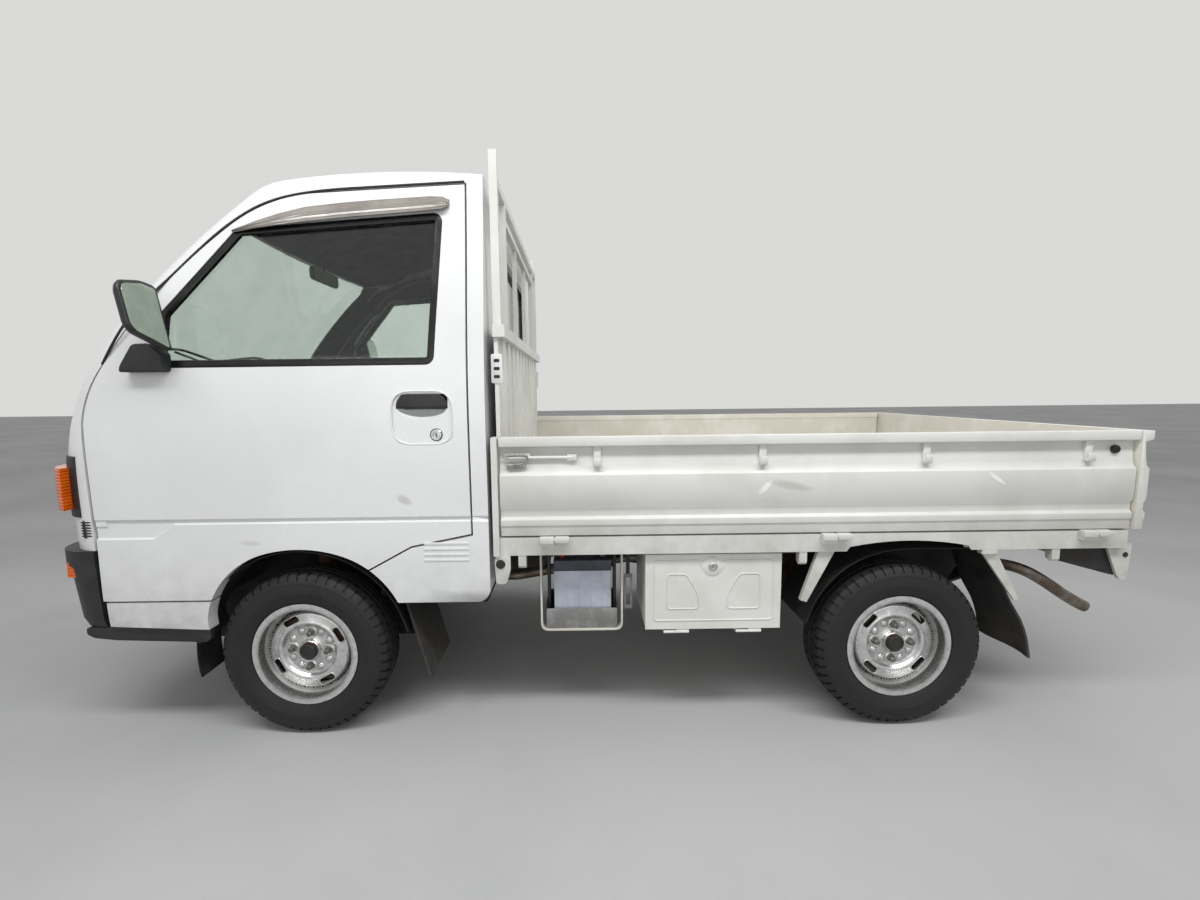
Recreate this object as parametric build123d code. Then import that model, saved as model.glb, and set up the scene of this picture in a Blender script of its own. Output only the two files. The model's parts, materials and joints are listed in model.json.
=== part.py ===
from build123d import *
import os

# A small cab-over pickup truck with a drop-side bed, in millimetres.
# X runs from the front bumper (-) to the tailgate (+), Y from the truck's left
# side (-) to its right side (+), Z up from the ground.

os.makedirs("parts", exist_ok=True)

# Whole truck
length = 3395.0
half_width = 737.5
wheelbase = 1900.0
front_overhang = 774.0
front_x = -length / 2
rear_x = length / 2
front_axle_x = front_x + front_overhang
rear_axle_x = front_axle_x + wheelbase

# Clearances
panel_gap = 6.0
seat_gap = 0.3
pin_clearance = 0.2

# Wheels
tyre_radius = 267.0
tyre_half_width = 73.0
hub_z = tyre_radius
wheel_plane_y = 645.0
rim_seat_radius = 152.0
rim_flange_radius = 167.0
rim_half_width = 60.0
rim_sheet = 5.0
hub_face = 16.0
disc_crest_radius = 93.0
disc_crest = 42.0
spindle_radius = 28.0
spindle_clearance = 0.1
stud_circle = 100.0
stud_radius = 6.0
drum_radius = 112.0
drum_depth = 70.0

# Cab outline: one row for each height
cab_back = -322.0
# height, x of the front edge, bow of the front, half width, corner radius
cab_rows = [
    (330, -1612, 16, 722, 120),
    (620, -1648, 20, 732, 140),
    (930, -1653, 22, 733, 150),
    (1100, -1603, 28, 729, 150),
    (1210, -1540, 34, 720, 140),
    (1450, -1342, 40, 686, 120),
    (1640, -1130, 42, 659, 105),
    (1830, -890, 42, 632, 90),
]
roof_z = 1783.0
roof_crown_radius = 6000.0
roof_spread = 14.0
cab_wall = 45.0
roof_wall = 30.0
back_wall = 28.0
screen_bottom_z = 1172.0
screen_top_z = 1640.0
sill_z = 350.0
rear_sill_z = 447.0
footwell_z = 455.0
floor_sheet = 18.0
seat_platform_z = 660.0
platform_front_x = -1235.0
cab_floor_half_width = 672.0
glass_sheet = 5.0

# Bumper
bumper_bottom_z = 372.0
bumper_top_z = 622.0
bumper_sheet = 30.0
bumper_end_x = -1524.0

# Frame rails
rail_inner_y = 300.0
rail_width = 45.0
rail_depth = 90.0
rail_rear_top_z = 590.0
rail_end_x = 1624.0

# Bed
bed_front_x = -308.0
deck_z = 660.0
deck_sheet = 16.0
rail_top_z = 955.0
gate_bottom_z = 652.0
gate_inner_y = 703.0
gate_skin = 733.0
sill_face_y = 728.0
hinge_z = 643.0
hinge_out = 5.0
hinge_pin_radius = 3.5
hinge_barrel_radius = 6.0
gate_front_x = -284.0
tailgate_thickness = 34.0
tail_hinge_x = rear_x - hinge_barrel_radius
tail_skin_x = tail_hinge_x + 2.0
tail_inner_x = tail_skin_x - tailgate_thickness
gate_rear_x = tail_inner_x - panel_gap


def block(x0, x1, y0, y1, z0, z1):
    size = Box(x1 - x0, y1 - y0, z1 - z0)
    return Pos((x0 + x1) / 2, (y0 + y1) / 2, (z0 + z1) / 2) * size


def side_prism(outline, y0, y1):
    """Outline in X and Z, drawn out from y0 to y1."""
    plane = Plane(origin=(0, y1, 0), x_dir=(1, 0, 0), z_dir=(0, -1, 0))
    return extrude(plane * outline, y1 - y0)


def front_prism(outline, x0, x1):
    """Outline in Y and Z, drawn out from x0 to x1."""
    plane = Plane(origin=(x0, 0, 0), x_dir=(0, 1, 0), z_dir=(1, 0, 0))
    return extrude(plane * outline, x1 - x0)


def polygon(points):
    return make_face(Polyline(*points, close=True))


def rounded(points, radius):
    return make_face(FilletPolyline(*points, radius=radius, close=True))


def rod(start, end, radius):
    a = Vector(*start)
    b = Vector(*end)
    plane = Plane(origin=a, z_dir=b - a)
    return extrude(plane * Circle(radius), (b - a).length)


def pipe(points, bend, radius):
    path = FilletPolyline(*points, radius=bend)
    section = Plane(origin=path @ 0, z_dir=path % 0) * Circle(radius)
    return sweep(section, path=path)


def mirrored(shape):
    return mirror(shape, about=Plane.XZ)


def save(name, *shapes):
    solids = []
    for shape in shapes:
        solids += shape.solids()
    export_step(Compound(children=solids) if len(solids) > 1 else solids[0], f"parts/{name}.step")


# Cab form: plan sections lofted upward, under a crowned roof
def cab_section(z, edge_x, bow, width, radius, inset, back_inset):
    edge_x += inset
    width -= inset
    radius = max(radius - inset, 20.0)
    back = cab_back - back_inset
    k = radius * 0.2929
    a = (back, -width)
    b = (edge_x + radius, -width)
    c = (edge_x, -(width - radius))
    d = (edge_x, width - radius)
    e = (edge_x + radius, width)
    f = (back, width)
    edges = [
        Line(a, b),
        ThreePointArc(b, (edge_x + k, -(width - k)), c),
        ThreePointArc(c, (edge_x - bow, 0), d),
        ThreePointArc(d, (edge_x + k, width - k), e),
        Line(e, f),
        Line(f, a),
    ]
    return Plane.XY.offset(z) * make_face(edges)


def cab_form(inset=0.0, back_inset=0.0, top_inset=0.0):
    body = loft([cab_section(*row, inset, back_inset) for row in cab_rows])
    top = roof_z - top_inset
    shift = top_inset * 0.5
    rear = (-200, top - 22)
    front = (-880 + shift, top - 18)
    header = (-1190 + shift, top - 160)
    edges = [
        Line((-200, 200), rear),
        ThreePointArc(rear, (-560, top), front),
        ThreePointArc(front, (-1050 + shift, top - 66), header),
        Line(header, (-1800, top - 700)),
        Line((-1800, top - 700), (-1800, 200)),
        Line((-1800, 200), (-200, 200)),
    ]
    face = Plane.XZ * make_face(edges)
    axis = Axis((0, 0, top - roof_crown_radius), (1, 0, 0))
    cover = revolve(face, axis, roof_spread) + revolve(face, axis, -roof_spread)
    return body & cover


cab_outer = cab_form()
cab_inner = cab_form(cab_wall, back_wall, roof_wall)
cab_shell = cab_outer - cab_inner

# Wheel arch and door outlines in the side view
arch_front = (-1203, 300)
arch_rear = (-600, 300)
arch = make_face([
    Line(arch_front, (-1200, 400)),
    ThreePointArc((-1200, 400), (-1136, 532), (-1010, 606)),
    ThreePointArc((-1010, 606), (-890, 618), (-770, 594)),
    ThreePointArc((-770, 594), (-660, 522), (-604, 440)),
    Line((-604, 440), arch_rear),
    Line(arch_rear, arch_front),
])
door_front_x = -1514.0
door_rear_x = -376.0
door_bottom_z = 463.0
door_front_gap = 9.0


def door_outline(grow):
    front = door_front_x - grow * door_front_gap / panel_gap
    rear = door_rear_x + grow
    low = door_bottom_z - grow
    g = grow * 0.7
    edges = [
        Line((front, low), (front - 4, 1010)),
        ThreePointArc((front - 4, 1010), (front + 16, 1093), (-1455 - g, 1172 + g)),
        ThreePointArc((-1455 - g, 1172 + g), (-1268 - g, 1416 + g), (-1075 - g, 1592 + g)),
        ThreePointArc((-1075 - g, 1592 + g), (-965 - g / 2, 1655 + grow), (-830, 1686 + grow)),
        Line((-830, 1686 + grow), (rear, 1709 + grow)),
        Line((rear, 1709 + grow), (rear, 661 - grow)),
        Line((rear, 661 - grow), (-560, 625 - grow)),
        Line((-560, 625 - grow), (-700, 550 - grow)),
        Line((-700, 550 - grow), (-1100, low)),
        Line((-1100, low), (front, low)),
    ]
    return make_face(edges)


window_points = [(-1290, 1172), (-471, 1174), (-441, 1628), (-1055, 1585), (-1277, 1335)]
window_corner = 28.0
window = rounded(window_points, window_corner)

arch_cut = side_prism(arch, -900, -400)
door_cut = side_prism(door_outline(0), -900, -500)
door_gap_cut = side_prism(door_outline(panel_gap), -900, -500)
window_cut = side_prism(window, -900, -400)

door = (cab_shell & door_cut) - arch_cut - window_cut
glass_outer = 16.0
glass_layer = cab_form(glass_outer) - cab_form(glass_outer + glass_sheet)
door_glass = glass_layer & window_cut

# Door hinges: a pin on an arm from the front panel, inside the door's front edge
door_hinge_back = 24.0
door_hinge_depth = 10.0
door_hinge_x = door_front_x + door_hinge_back
door_hinge_y = -(cab_rows[1][3] - door_hinge_depth)
door_hinge_levels = [700.0, 960.0]
door_pin_radius = 3.5
door_arm_radius = 5.5
door_arm_height = 26.0

# Windscreen opening in the front view
screen_half_bottom = 640.0
screen_half_top = 565.0
screen_corner = 60.0
screen_outline = rounded(
    [
        (-screen_half_bottom, screen_bottom_z),
        (screen_half_bottom, screen_bottom_z),
        (screen_half_top, screen_top_z),
        (-screen_half_top, screen_top_z),
    ],
    screen_corner,
)
screen_cut = front_prism(screen_outline, -1800, -1020)
screen_layer = cab_form(4.0) - cab_form(4.0 + glass_sheet)
windscreen = screen_layer & screen_cut

# Rear window
rear_window_half = 520.0
rear_window_z = (1215.0, 1600.0)
rear_window_outline = rounded(
    [
        (-rear_window_half, rear_window_z[0]),
        (rear_window_half, rear_window_z[0]),
        (rear_window_half - 20, rear_window_z[1]),
        (-rear_window_half + 20, rear_window_z[1]),
    ],
    80.0,
)
rear_window_cut = front_prism(rear_window_outline, -420, -250)
rear_window = front_prism(rear_window_outline, cab_back - 18, cab_back - 18 + glass_sheet)

# Where the cab's panels part
roof_region = side_prism(
    polygon([
        (-1300, screen_top_z), (-1085, screen_top_z), (-930, 1700), (-800, 1722),
        (-200, 1738), (-200, 1900), (-1300, 1900),
    ]),
    -900, 900,
)
front_region = side_prism(
    polygon([(-1800, bumper_top_z + seat_gap), (-1440, bumper_top_z + seat_gap),
             (-1440, screen_bottom_z), (-1800, screen_bottom_z)]),
    -900, 900,
)
back_half_width = 640.0
back_bottom_z = 602.0
back_region = block(cab_back - back_wall, -200, -back_half_width, back_half_width, back_bottom_z, 1738)
back_foot = block(cab_back - back_wall - 1, -200, -back_half_width, back_half_width, 400, back_bottom_z)
below_cut = side_prism(
    polygon([(-1900, 200), (-200, 200), (-200, rear_sill_z), (-650, rear_sill_z),
             (-900, rear_sill_z), (-900, sill_z), (-1504, sill_z + 30), (-1504, bumper_top_z + seat_gap),
             (-1900, bumper_top_z + seat_gap)]),
    -900, 900,
)

shell = cab_shell - below_cut - back_foot
for side in (1, -1):
    for cut in (door_gap_cut, arch_cut):
        shell -= cut if side == 1 else mirrored(cut)
shell -= screen_cut
shell -= rear_window_cut

roof = shell & roof_region
front_panel = (shell - roof_region) & front_region
back_panel = (shell - roof_region) & back_region
sides = shell - roof_region - front_region - back_region
side_left = sides & block(-1800, -200, -900, 0, 200, 1900)

# Floor of the cab: footwell, riser and seat platform
platform_rear_x = cab_back - back_wall - seat_gap
floor_outline = polygon([
    (-1590, footwell_z + 150), (-1540, footwell_z), (platform_front_x + floor_sheet, footwell_z),
    (platform_front_x + floor_sheet, seat_platform_z - floor_sheet),
    (platform_rear_x, seat_platform_z - floor_sheet), (platform_rear_x, seat_platform_z),
    (platform_front_x, seat_platform_z), (platform_front_x, footwell_z + floor_sheet),
    (-1530, footwell_z + floor_sheet), (-1574, footwell_z + 150),
])
cab_floor = side_prism(floor_outline, -cab_floor_half_width, cab_floor_half_width)
step_well = block(-1490, platform_front_x + floor_sheet, 380, 720, footwell_z - 18, footwell_z + 1)
cab_floor += step_well + mirrored(step_well)
cab_floor = cab_floor & cab_form(cab_wall + seat_gap, 0, 0)

# Bumper: one moulding that wraps the front corners
# height, x of the front edge, bow, half width, corner radius
bumper_rows = [
    (bumper_bottom_z, -1640, 16, 716, 100),
    (400, -1650, 18, 728, 112),
    (566, -1668, 18, 736, 120),
    (574, front_x + 18, 18, 737, 120),
    (bumper_top_z, front_x + 18, 18, 737, 120),
]


def bumper_form(inset):
    rows = [cab_section(*row, inset, 0.0) for row in bumper_rows]
    return loft(rows, ruled=True)


bumper_region = block(front_x - 10, bumper_end_x, -900, 900, 300, 700)
bumper = (bumper_form(0.0) & bumper_region) - bumper_form(bumper_sheet)
top_flange = block(front_x - 10, -1590, -900, 900, bumper_top_z - 14, bumper_top_z)
bumper += bumper_form(0.5) & top_flange

# Lamps
lamp_z = (742.0, 884.0)
headlamp_y = (392.0, 598.0)
headlamp_cut = block(-1800, -1610, headlamp_y[0], headlamp_y[1], lamp_z[0], lamp_z[1])
lamp_form = cab_form(-14.0) - cab_form(cab_wall - 1)
headlamp = lamp_form & headlamp_cut
turn_cut = block(-1800, -1590, headlamp_y[1] + seat_gap, 760, lamp_z[0] + 8, lamp_z[1] - 6)
turn_form = cab_form(-30.0) - cab_form(cab_wall - 1)
turn_lamp = turn_form & turn_cut
front_panel -= headlamp_cut
front_panel -= mirrored(headlamp_cut)
front_panel -= turn_cut
front_panel -= mirrored(turn_cut)

# Dashboard, seats and steering
dash_half_width = 660.0
dash = side_prism(
    rounded([(-1590, 1120), (-1300, 1150), (-1270, 1090), (-1330, 900), (-1560, 860)], 22),
    -dash_half_width, dash_half_width,
)
dash = dash & cab_form(cab_wall + seat_gap)
driver_y = 330.0
wheel_centre = Vector(-1165, driver_y, 1135)
column_direction = Vector(-0.56, 0, -0.83).normalized()
column_start = wheel_centre + column_direction * (41 + seat_gap)
column_end = wheel_centre + column_direction * 560
steering_radius = 185.0
column = rod(column_start, column_end, 28.0)
column = column - dash
steering_plane = Plane(origin=wheel_centre, z_dir=-column_direction)
rim_ring = steering_plane * Torus(steering_radius, 13.0)
boss = steering_plane * Pos(0, 0, -24) * Cylinder(48, 34)
spokes = []
for turn in (-70, 70, 180):
    spoke = Rot(0, 0, turn + 90) * Pos(steering_radius / 2 + 10, 0, -14) * Box(steering_radius - 30, 34, 14)
    spokes.append(steering_plane * spoke)
steering_wheel = rim_ring + boss
for spoke in spokes:
    steering_wheel += spoke

cushion = rounded([(-1060, 690), (-560, 690), (-545, 790), (-1060, 812)], 20)
backrest = rounded([(-560, 800), (-478, 800), (-392, 1330), (-412, 1360), (-470, 1350)], 16)
headrest = rounded([(-448, 1372), (-398, 1372), (-384, 1500), (-432, 1506)], 16)
seat_width = 460.0
seat = side_prism(cushion, -seat_width / 2, seat_width / 2)
seat += side_prism(rounded([(-566, 690), (-480, 690), (-470, 812), (-566, 812)], 12), -205, 205)
seat += side_prism(backrest, -seat_width / 2 + 8, seat_width / 2 - 8)
seat += side_prism(headrest, -110, 110)
for y in (-50, 50):
    seat += rod((-428, y, 1345), (-422, y, 1390), 7)
for y in (-190, 190):
    seat += block(-1000, -560, y - 12, y + 12, seat_platform_z, 700)
seat_left = Pos(0, -driver_y, 0) * seat
seat_right = Pos(0, driver_y, 0) * seat

# Frame: two rails that kick up behind the cab, joined by crossmembers
rail_outer_y = rail_inner_y + rail_width
rail_outline = polygon([
    (-1560, footwell_z - rail_depth), (-480, footwell_z - rail_depth),
    (-250, rail_rear_top_z - rail_depth), (rail_end_x, rail_rear_top_z - rail_depth),
    (rail_end_x, rail_rear_top_z), (-270, rail_rear_top_z), (-500, footwell_z), (-1560, footwell_z),
])
rail = side_prism(rail_outline, rail_inner_y, rail_outer_y)
chassis = rail + mirrored(rail)
# x, bottom and top of each crossmember
crossmembers = [
    (-1540, 380, 440), (-1180, 375, 435), (-430, 290, 318),
    (60, 515, 575), (560, 515, 575), (1230, 515, 575), (1590, 515, 575),
]
for x, z0, z1 in crossmembers:
    chassis += block(x - 28, x + 28, -rail_inner_y, rail_inner_y, z0, z1)
cradle_leg = block(-458, -402, rail_inner_y, rail_outer_y, 290, 430)
chassis += cradle_leg + mirrored(cradle_leg)
cradle_foot = block(-458, -402, rail_inner_y - 10, rail_outer_y, 290, 318)
chassis += cradle_foot + mirrored(cradle_foot)
spring_y = 385.0
spring_half_width = 30.0
spring_reach = 430.0
spring_eye_z = 400.0
spring_eye_radius = 18.0
spring_eyes = (rear_axle_x - spring_reach, rear_axle_x + spring_reach)
for x in spring_eyes:
    for y0 in (rail_outer_y, spring_y + spring_half_width + seat_gap):
        hanger = side_prism(
            rounded([(x - 26, spring_eye_z - 26), (x + 26, spring_eye_z - 26),
                     (x + 44, 560), (x - 44, 560)], 10),
            y0, y0 + 6,
        )
        chassis += hanger + mirrored(hanger)
    cap = block(x - 40, x + 40, rail_outer_y - 1, spring_y + spring_half_width + 6, 520, 556)
    chassis += cap + mirrored(cap)
bumper_stay = block(front_x, -1550, rail_inner_y, rail_outer_y, 400, 440)
bumper_stay = bumper_stay & bumper_form(bumper_sheet + seat_gap)
chassis += bumper_stay + mirrored(bumper_stay)

# Front suspension: crossmember under the engine and two lower arms
ball_y = 570.0
ball_z = 172.0
top_y = 515.0
top_z = seat_platform_z - floor_sheet
arm_z = 150.0
ball_boss_radius = 14.0
ball_seat_z = ball_z + 10.0


def kingpin(z):
    """The point at height z on the left steering axis, which leans in at the top."""
    share = (z - ball_z) / (top_z - ball_z)
    return (front_axle_x, -ball_y + share * (ball_y - top_y), z)


front_beam = block(front_axle_x - 45, front_axle_x + 45, -335, 335, 215, 275)
for side in (1, -1):
    leg = block(front_axle_x - 40, front_axle_x + 40, rail_inner_y, rail_outer_y, 215, 365)
    front_beam += leg if side == 1 else mirrored(leg)
arm_outline = polygon([
    (front_axle_x - 12, -ball_y), (front_axle_x + 12, -ball_y),
    (front_axle_x + 150, -330), (front_axle_x + 90, -330), (front_axle_x, -520),
    (front_axle_x - 90, -330), (front_axle_x - 150, -330),
])
arm = extrude(Plane.XY.offset(arm_z) * arm_outline, 22)
arm += rod(kingpin(arm_z), kingpin(ball_seat_z), ball_boss_radius)
arm_mount = block(front_axle_x - 150, front_axle_x + 150, -345, -315, arm_z, 230)
front_suspension = front_beam + arm + mirrored(arm) + arm_mount + mirrored(arm_mount)

# Knuckles: upright, spindle, drum and strut, turning about the leaning axis
ball_stud_radius = 12.0
upright_foot_z = 196.0
strut_radius = 22.0
strut_top_z = top_z - 3.0
hub_plane_y = wheel_plane_y + hub_face
drum_inner_y = hub_plane_y - drum_depth
knuckle_base = block(
    front_axle_x - 26, front_axle_x + 26, -drum_inner_y - 1, -ball_y + 26, upright_foot_z, hub_z + 40,
)
knuckle_top = block(
    front_axle_x - 22, front_axle_x + 22, -ball_y - 10, -525, hub_z + 20, hub_z + 62,
)


def hub_and_drum(x):
    drum = rod((x, -drum_inner_y, hub_z), (x, -hub_plane_y + seat_gap, hub_z), drum_radius)
    spindle = rod((x, -drum_inner_y, hub_z), (x, -hub_plane_y - 24, hub_z), spindle_radius)
    return drum + spindle


ball_stud = rod(kingpin(ball_seat_z + seat_gap), kingpin(upright_foot_z + 14), ball_stud_radius)
strut = rod(kingpin(hub_z + 22), kingpin(strut_top_z), strut_radius)
strut_seat = rod(kingpin(552), kingpin(562), 46.0)
spring_cover = rod(kingpin(562), kingpin(628), 38.0)
knuckle = knuckle_base + knuckle_top + hub_and_drum(front_axle_x)
knuckle += ball_stud + strut + strut_seat + spring_cover

# Rear axle with its differential and drums
rear_axle = rod((rear_axle_x, -620, hub_z), (rear_axle_x, 620, hub_z), 32.0)
rear_axle += Pos(rear_axle_x, 0, hub_z) * Sphere(105)
rear_axle += rod((rear_axle_x - 150, 0, hub_z), (rear_axle_x, 0, hub_z), 48)
rear_drum = hub_and_drum(rear_axle_x)
rear_axle += rear_drum + mirrored(rear_drum)

# Leaf springs over the axle
spring_sheet = 8.0
leaf_low = hub_z + 32.0 + seat_gap
leaf_top = leaf_low + 2 * spring_sheet
main_leaf = make_face([
    ThreePointArc((spring_eyes[0], spring_eye_z - 6), (rear_axle_x, leaf_top),
                  (spring_eyes[1], spring_eye_z - 6)),
    Line((spring_eyes[1], spring_eye_z - 6), (spring_eyes[1], spring_eye_z + 4)),
    ThreePointArc((spring_eyes[1], spring_eye_z + 4), (rear_axle_x, leaf_top + 10),
                  (spring_eyes[0], spring_eye_z + 4)),
    Line((spring_eyes[0], spring_eye_z + 4), (spring_eyes[0], spring_eye_z - 6)),
])
leaf_y = (spring_y - spring_half_width, spring_y + spring_half_width)
spring = side_prism(main_leaf, *leaf_y)
for x in spring_eyes:
    spring += rod((x, leaf_y[0], spring_eye_z), (x, leaf_y[1], spring_eye_z), spring_eye_radius)
spring += block(rear_axle_x - 55, rear_axle_x + 55, leaf_y[0], leaf_y[1], leaf_low, leaf_top + 5)
rear_springs = [spring, mirrored(spring)]


# Wheels
def wheel_profile_rim():
    w = rim_half_width
    s = rim_seat_radius
    f = rim_flange_radius
    t = rim_sheet
    outer = [
        (-w, s - t), (-w, f), (-w + 3, f), (-w + 3, s), (-28, s), (-20, 134), (14, 134), (24, s),
        (w - 3, s), (w - 3, f), (w, f), (w, s - t), (26, s - t), (17, 129), (-23, 129), (-31, s - t),
    ]
    return polygon(outer)


def wheel_profile_disc():
    t = rim_sheet
    r = disc_crest_radius
    c = disc_crest
    h = hub_face
    hole = spindle_radius + spindle_clearance
    edges = [
        Line((h, hole), (h, 62)),
        Line((h, 62), (c - t, r - 14)),
        ThreePointArc((c - t, r - 14), (c - t + 2, r), (c - t, r + 12)),
        Line((c - t, r + 12), (6, 129.5)),
        Line((6, 129.5), (12, 129.5)),
        Line((12, 129.5), (c, r + 14)),
        ThreePointArc((c, r + 14), (c + 3, r), (c, r - 16)),
        Line((c, r - 16), (h + t, 60)),
        Line((h + t, 60), (h + t, hole)),
        Line((h + t, hole), (h, hole)),
    ]
    return make_face(edges)


def wheel_profile_tyre():
    w = tyre_half_width
    bead = rim_half_width - 3 - seat_gap
    inner = rim_seat_radius + seat_gap
    top = tyre_radius
    edges = [
        Line((-bead, inner), (bead, inner)),
        Line((bead, inner), (bead, rim_flange_radius + 1)),
        ThreePointArc((bead, rim_flange_radius + 1), (w, 212), (w - 9, top - 18)),
        ThreePointArc((w - 9, top - 18), (w - 14, top - 9), (w - 22, top - 3.5)),
        ThreePointArc((w - 22, top - 3.5), (0, top), (-w + 22, top - 3.5)),
        ThreePointArc((-w + 22, top - 3.5), (-w + 14, top - 9), (-w + 9, top - 18)),
        ThreePointArc((-w + 9, top - 18), (-w, 212), (-bead, rim_flange_radius + 1)),
        Line((-bead, rim_flange_radius + 1), (-bead, inner)),
    ]
    return make_face(edges)


# Profiles are drawn with the distance outward from the wheel's middle plane
# first and the radius second, then spun about the axle line.
wheel_plane = Plane(origin=(0, 0, 0), x_dir=(0, -1, 0), z_dir=(1, 0, 0))
spin_axis = Axis((0, 0, 0), (0, 1, 0))
rim = revolve(wheel_plane * wheel_profile_rim(), spin_axis, 360)
rim += revolve(wheel_plane * wheel_profile_disc(), spin_axis, 360)
tyre = revolve(wheel_plane * wheel_profile_tyre(), spin_axis, 360)
for i in range(4):
    stud = rod((0, -hub_face - 3, 0), (0, -hub_face - 20, 0), stud_radius)
    rim += Rot(0, 45 + i * 90, 0) * Pos(0, 0, stud_circle / 2) * stud
    slot = Rot(90, 0, 0) * Pos(0, 0, 0) * extrude(SlotOverall(44, 20), 200)
    slot = Rot(0, i * 90, 0) * Pos(0, 0, 116) * slot
    rim -= slot
wheels = {}
for end, x in (("front", front_axle_x), ("rear", rear_axle_x)):
    place = Pos(x, -wheel_plane_y, hub_z)
    wheels[f"rim_{end}_left"] = place * rim
    wheels[f"tyre_{end}_left"] = place * tyre
    wheels[f"rim_{end}_right"] = mirrored(place * rim)
    wheels[f"tyre_{end}_right"] = mirrored(place * tyre)

# Engine under the seats, gearbox, shaft and exhaust
engine = block(-1090, -560, -190, 190, 300, 612)
lug = block(-850, -790, 190, rail_inner_y - seat_gap, 400, 432)
engine += lug + mirrored(lug)
gearbox = loft([
    Plane.YZ.offset(-560 + seat_gap) * Pos(0, 430) * Rectangle(300, 230),
    Plane.YZ.offset(-180) * Pos(0, 400) * Rectangle(130, 140),
])
shaft_front = (-180 + seat_gap, 0, 400)
shaft_rear = (rear_axle_x - 150 - seat_gap, 0, hub_z + 6)
flange_depth = 14.0
front_flange_end = (shaft_front[0] + flange_depth, 0, shaft_front[2])
rear_flange_end = (shaft_rear[0] - flange_depth, 0, shaft_rear[2])
propshaft = rod(
    (front_flange_end[0] - 6, 0, shaft_front[2]), (rear_flange_end[0] + 6, 0, shaft_rear[2]), 28)
propshaft += rod(shaft_front, front_flange_end, 42)
propshaft += rod(rear_flange_end, shaft_rear, 42)
exhaust = pipe(
    [(-620, -215, 350), (-300, -215, 350), (160, -180, 410), (240, -180, 410)], 40, 20,
)
exhaust += rod((240, -180, 410), (680, -180, 410), 75)
tail_path = [
    (680, -180, 425), (860, -200, 440), (1180, -230, 455), (1340, -430, 455), (1470, -480, 450),
    (1600, -600, 385),
]
exhaust += pipe(tail_path, 40, 19)
for x in (260, 640):
    exhaust += block(x - 12, x + 12, -rail_inner_y + seat_gap, -210, 440, 452)
    exhaust += block(x - 12, x + 12, -rail_inner_y + seat_gap, -rail_inner_y + 6, 440, 560)

# Fuel tank on the right, battery and tool box on the left
fuel_tank = fillet(block(140, 610, 430, 676, 345, 580).edges(), 22)
for x in (230, 520):
    fuel_tank += block(x - 15, x + 15, 426, 680, 341, rail_rear_top_z - seat_gap)
battery_x = (-130.0, 57.0)
battery_y = (-642.0, -515.0)
battery_z = (347.0, 550.0)
battery = block(battery_x[0], battery_x[1], *battery_y, battery_z[0], battery_z[1] - 24)
battery += block(battery_x[0] + 6, battery_x[1] - 6, battery_y[0] + 4, battery_y[1] - 4, 520, 550)
for x in (battery_x[0] + 30, battery_x[1] - 30):
    battery += rod((x, -560, 545), (x, -560, 565), 9)
tray = block(battery_x[0] - 8, battery_x[1] + 8, battery_y[0] - 8, battery_y[1] + 8, 337, 408)
tray -= block(
    battery_x[0] - seat_gap, battery_x[1] + seat_gap,
    battery_y[0] - seat_gap, battery_y[1] + seat_gap, battery_z[0] - seat_gap, 500,
)
tray += block(battery_x[0], battery_x[1], battery_y[1] + 4, -rail_outer_y - seat_gap, 337, 343)
tray += block(battery_x[0], battery_x[1], -rail_outer_y - 6, -rail_outer_y - seat_gap, 337, 560)
strap = block(-172, 92, -622, -598, 300, rail_rear_top_z - seat_gap)
strap -= block(-167, 87, -700, -500, 305, rail_rear_top_z)
tray += strap
tray += block(battery_x[0], battery_x[1], -620, -600, 304, 338)

box_x = (163.0, 587.0)
box_z = (336.0, rail_rear_top_z - seat_gap)
box_y = (-692.0, -430.0)
box_sheet = 4.0
toolbox = block(*box_x, *box_y, *box_z)
toolbox -= block(
    box_x[0] + box_sheet, box_x[1] - box_sheet, box_y[0] - 10, box_y[1] - box_sheet,
    box_z[0] + box_sheet, box_z[1] - box_sheet,
)
lid_z = (333.0, 584.0)
lid_y = (-708.0, box_y[0] - panel_gap)
lid = front_prism(polygon([(lid_y[0], lid_z[0] + 4), (lid_y[1], lid_z[0]), (lid_y[1], lid_z[1]),
                           (lid_y[0], lid_z[1] - 4)]), box_x[0] - 2, box_x[1] + 2)
lid_axis_y = -703.0
lid_axis_z = 327.0
lid_pin_radius = 2.5
lid_barrel_radius = 5.0
for x in (260.0, 490.0):
    fixed = rod((x - 40, lid_axis_y, lid_axis_z), (x - 2, lid_axis_y, lid_axis_z), lid_barrel_radius)
    fixed += rod((x - 4, lid_axis_y, lid_axis_z), (x + 38, lid_axis_y, lid_axis_z), lid_pin_radius)
    fixed += block(x - 40, x - 2, lid_axis_y, -670, lid_axis_z - 4, lid_axis_z)
    fixed += block(x - 40, x - 2, box_y[0], -670, lid_axis_z - 4, box_z[0] + 1)
    toolbox += fixed
    moving = rod((x - 1, lid_axis_y, lid_axis_z), (x + 40, lid_axis_y, lid_axis_z), lid_barrel_radius)
    moving += block(x - 1, x + 40, lid_y[0] + 2, lid_y[1], lid_axis_z, lid_z[0] + 6)
    moving -= rod((x - 2, lid_axis_y, lid_axis_z), (x + 41, lid_axis_y, lid_axis_z),
                  lid_pin_radius + pin_clearance)
    lid += moving

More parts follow.
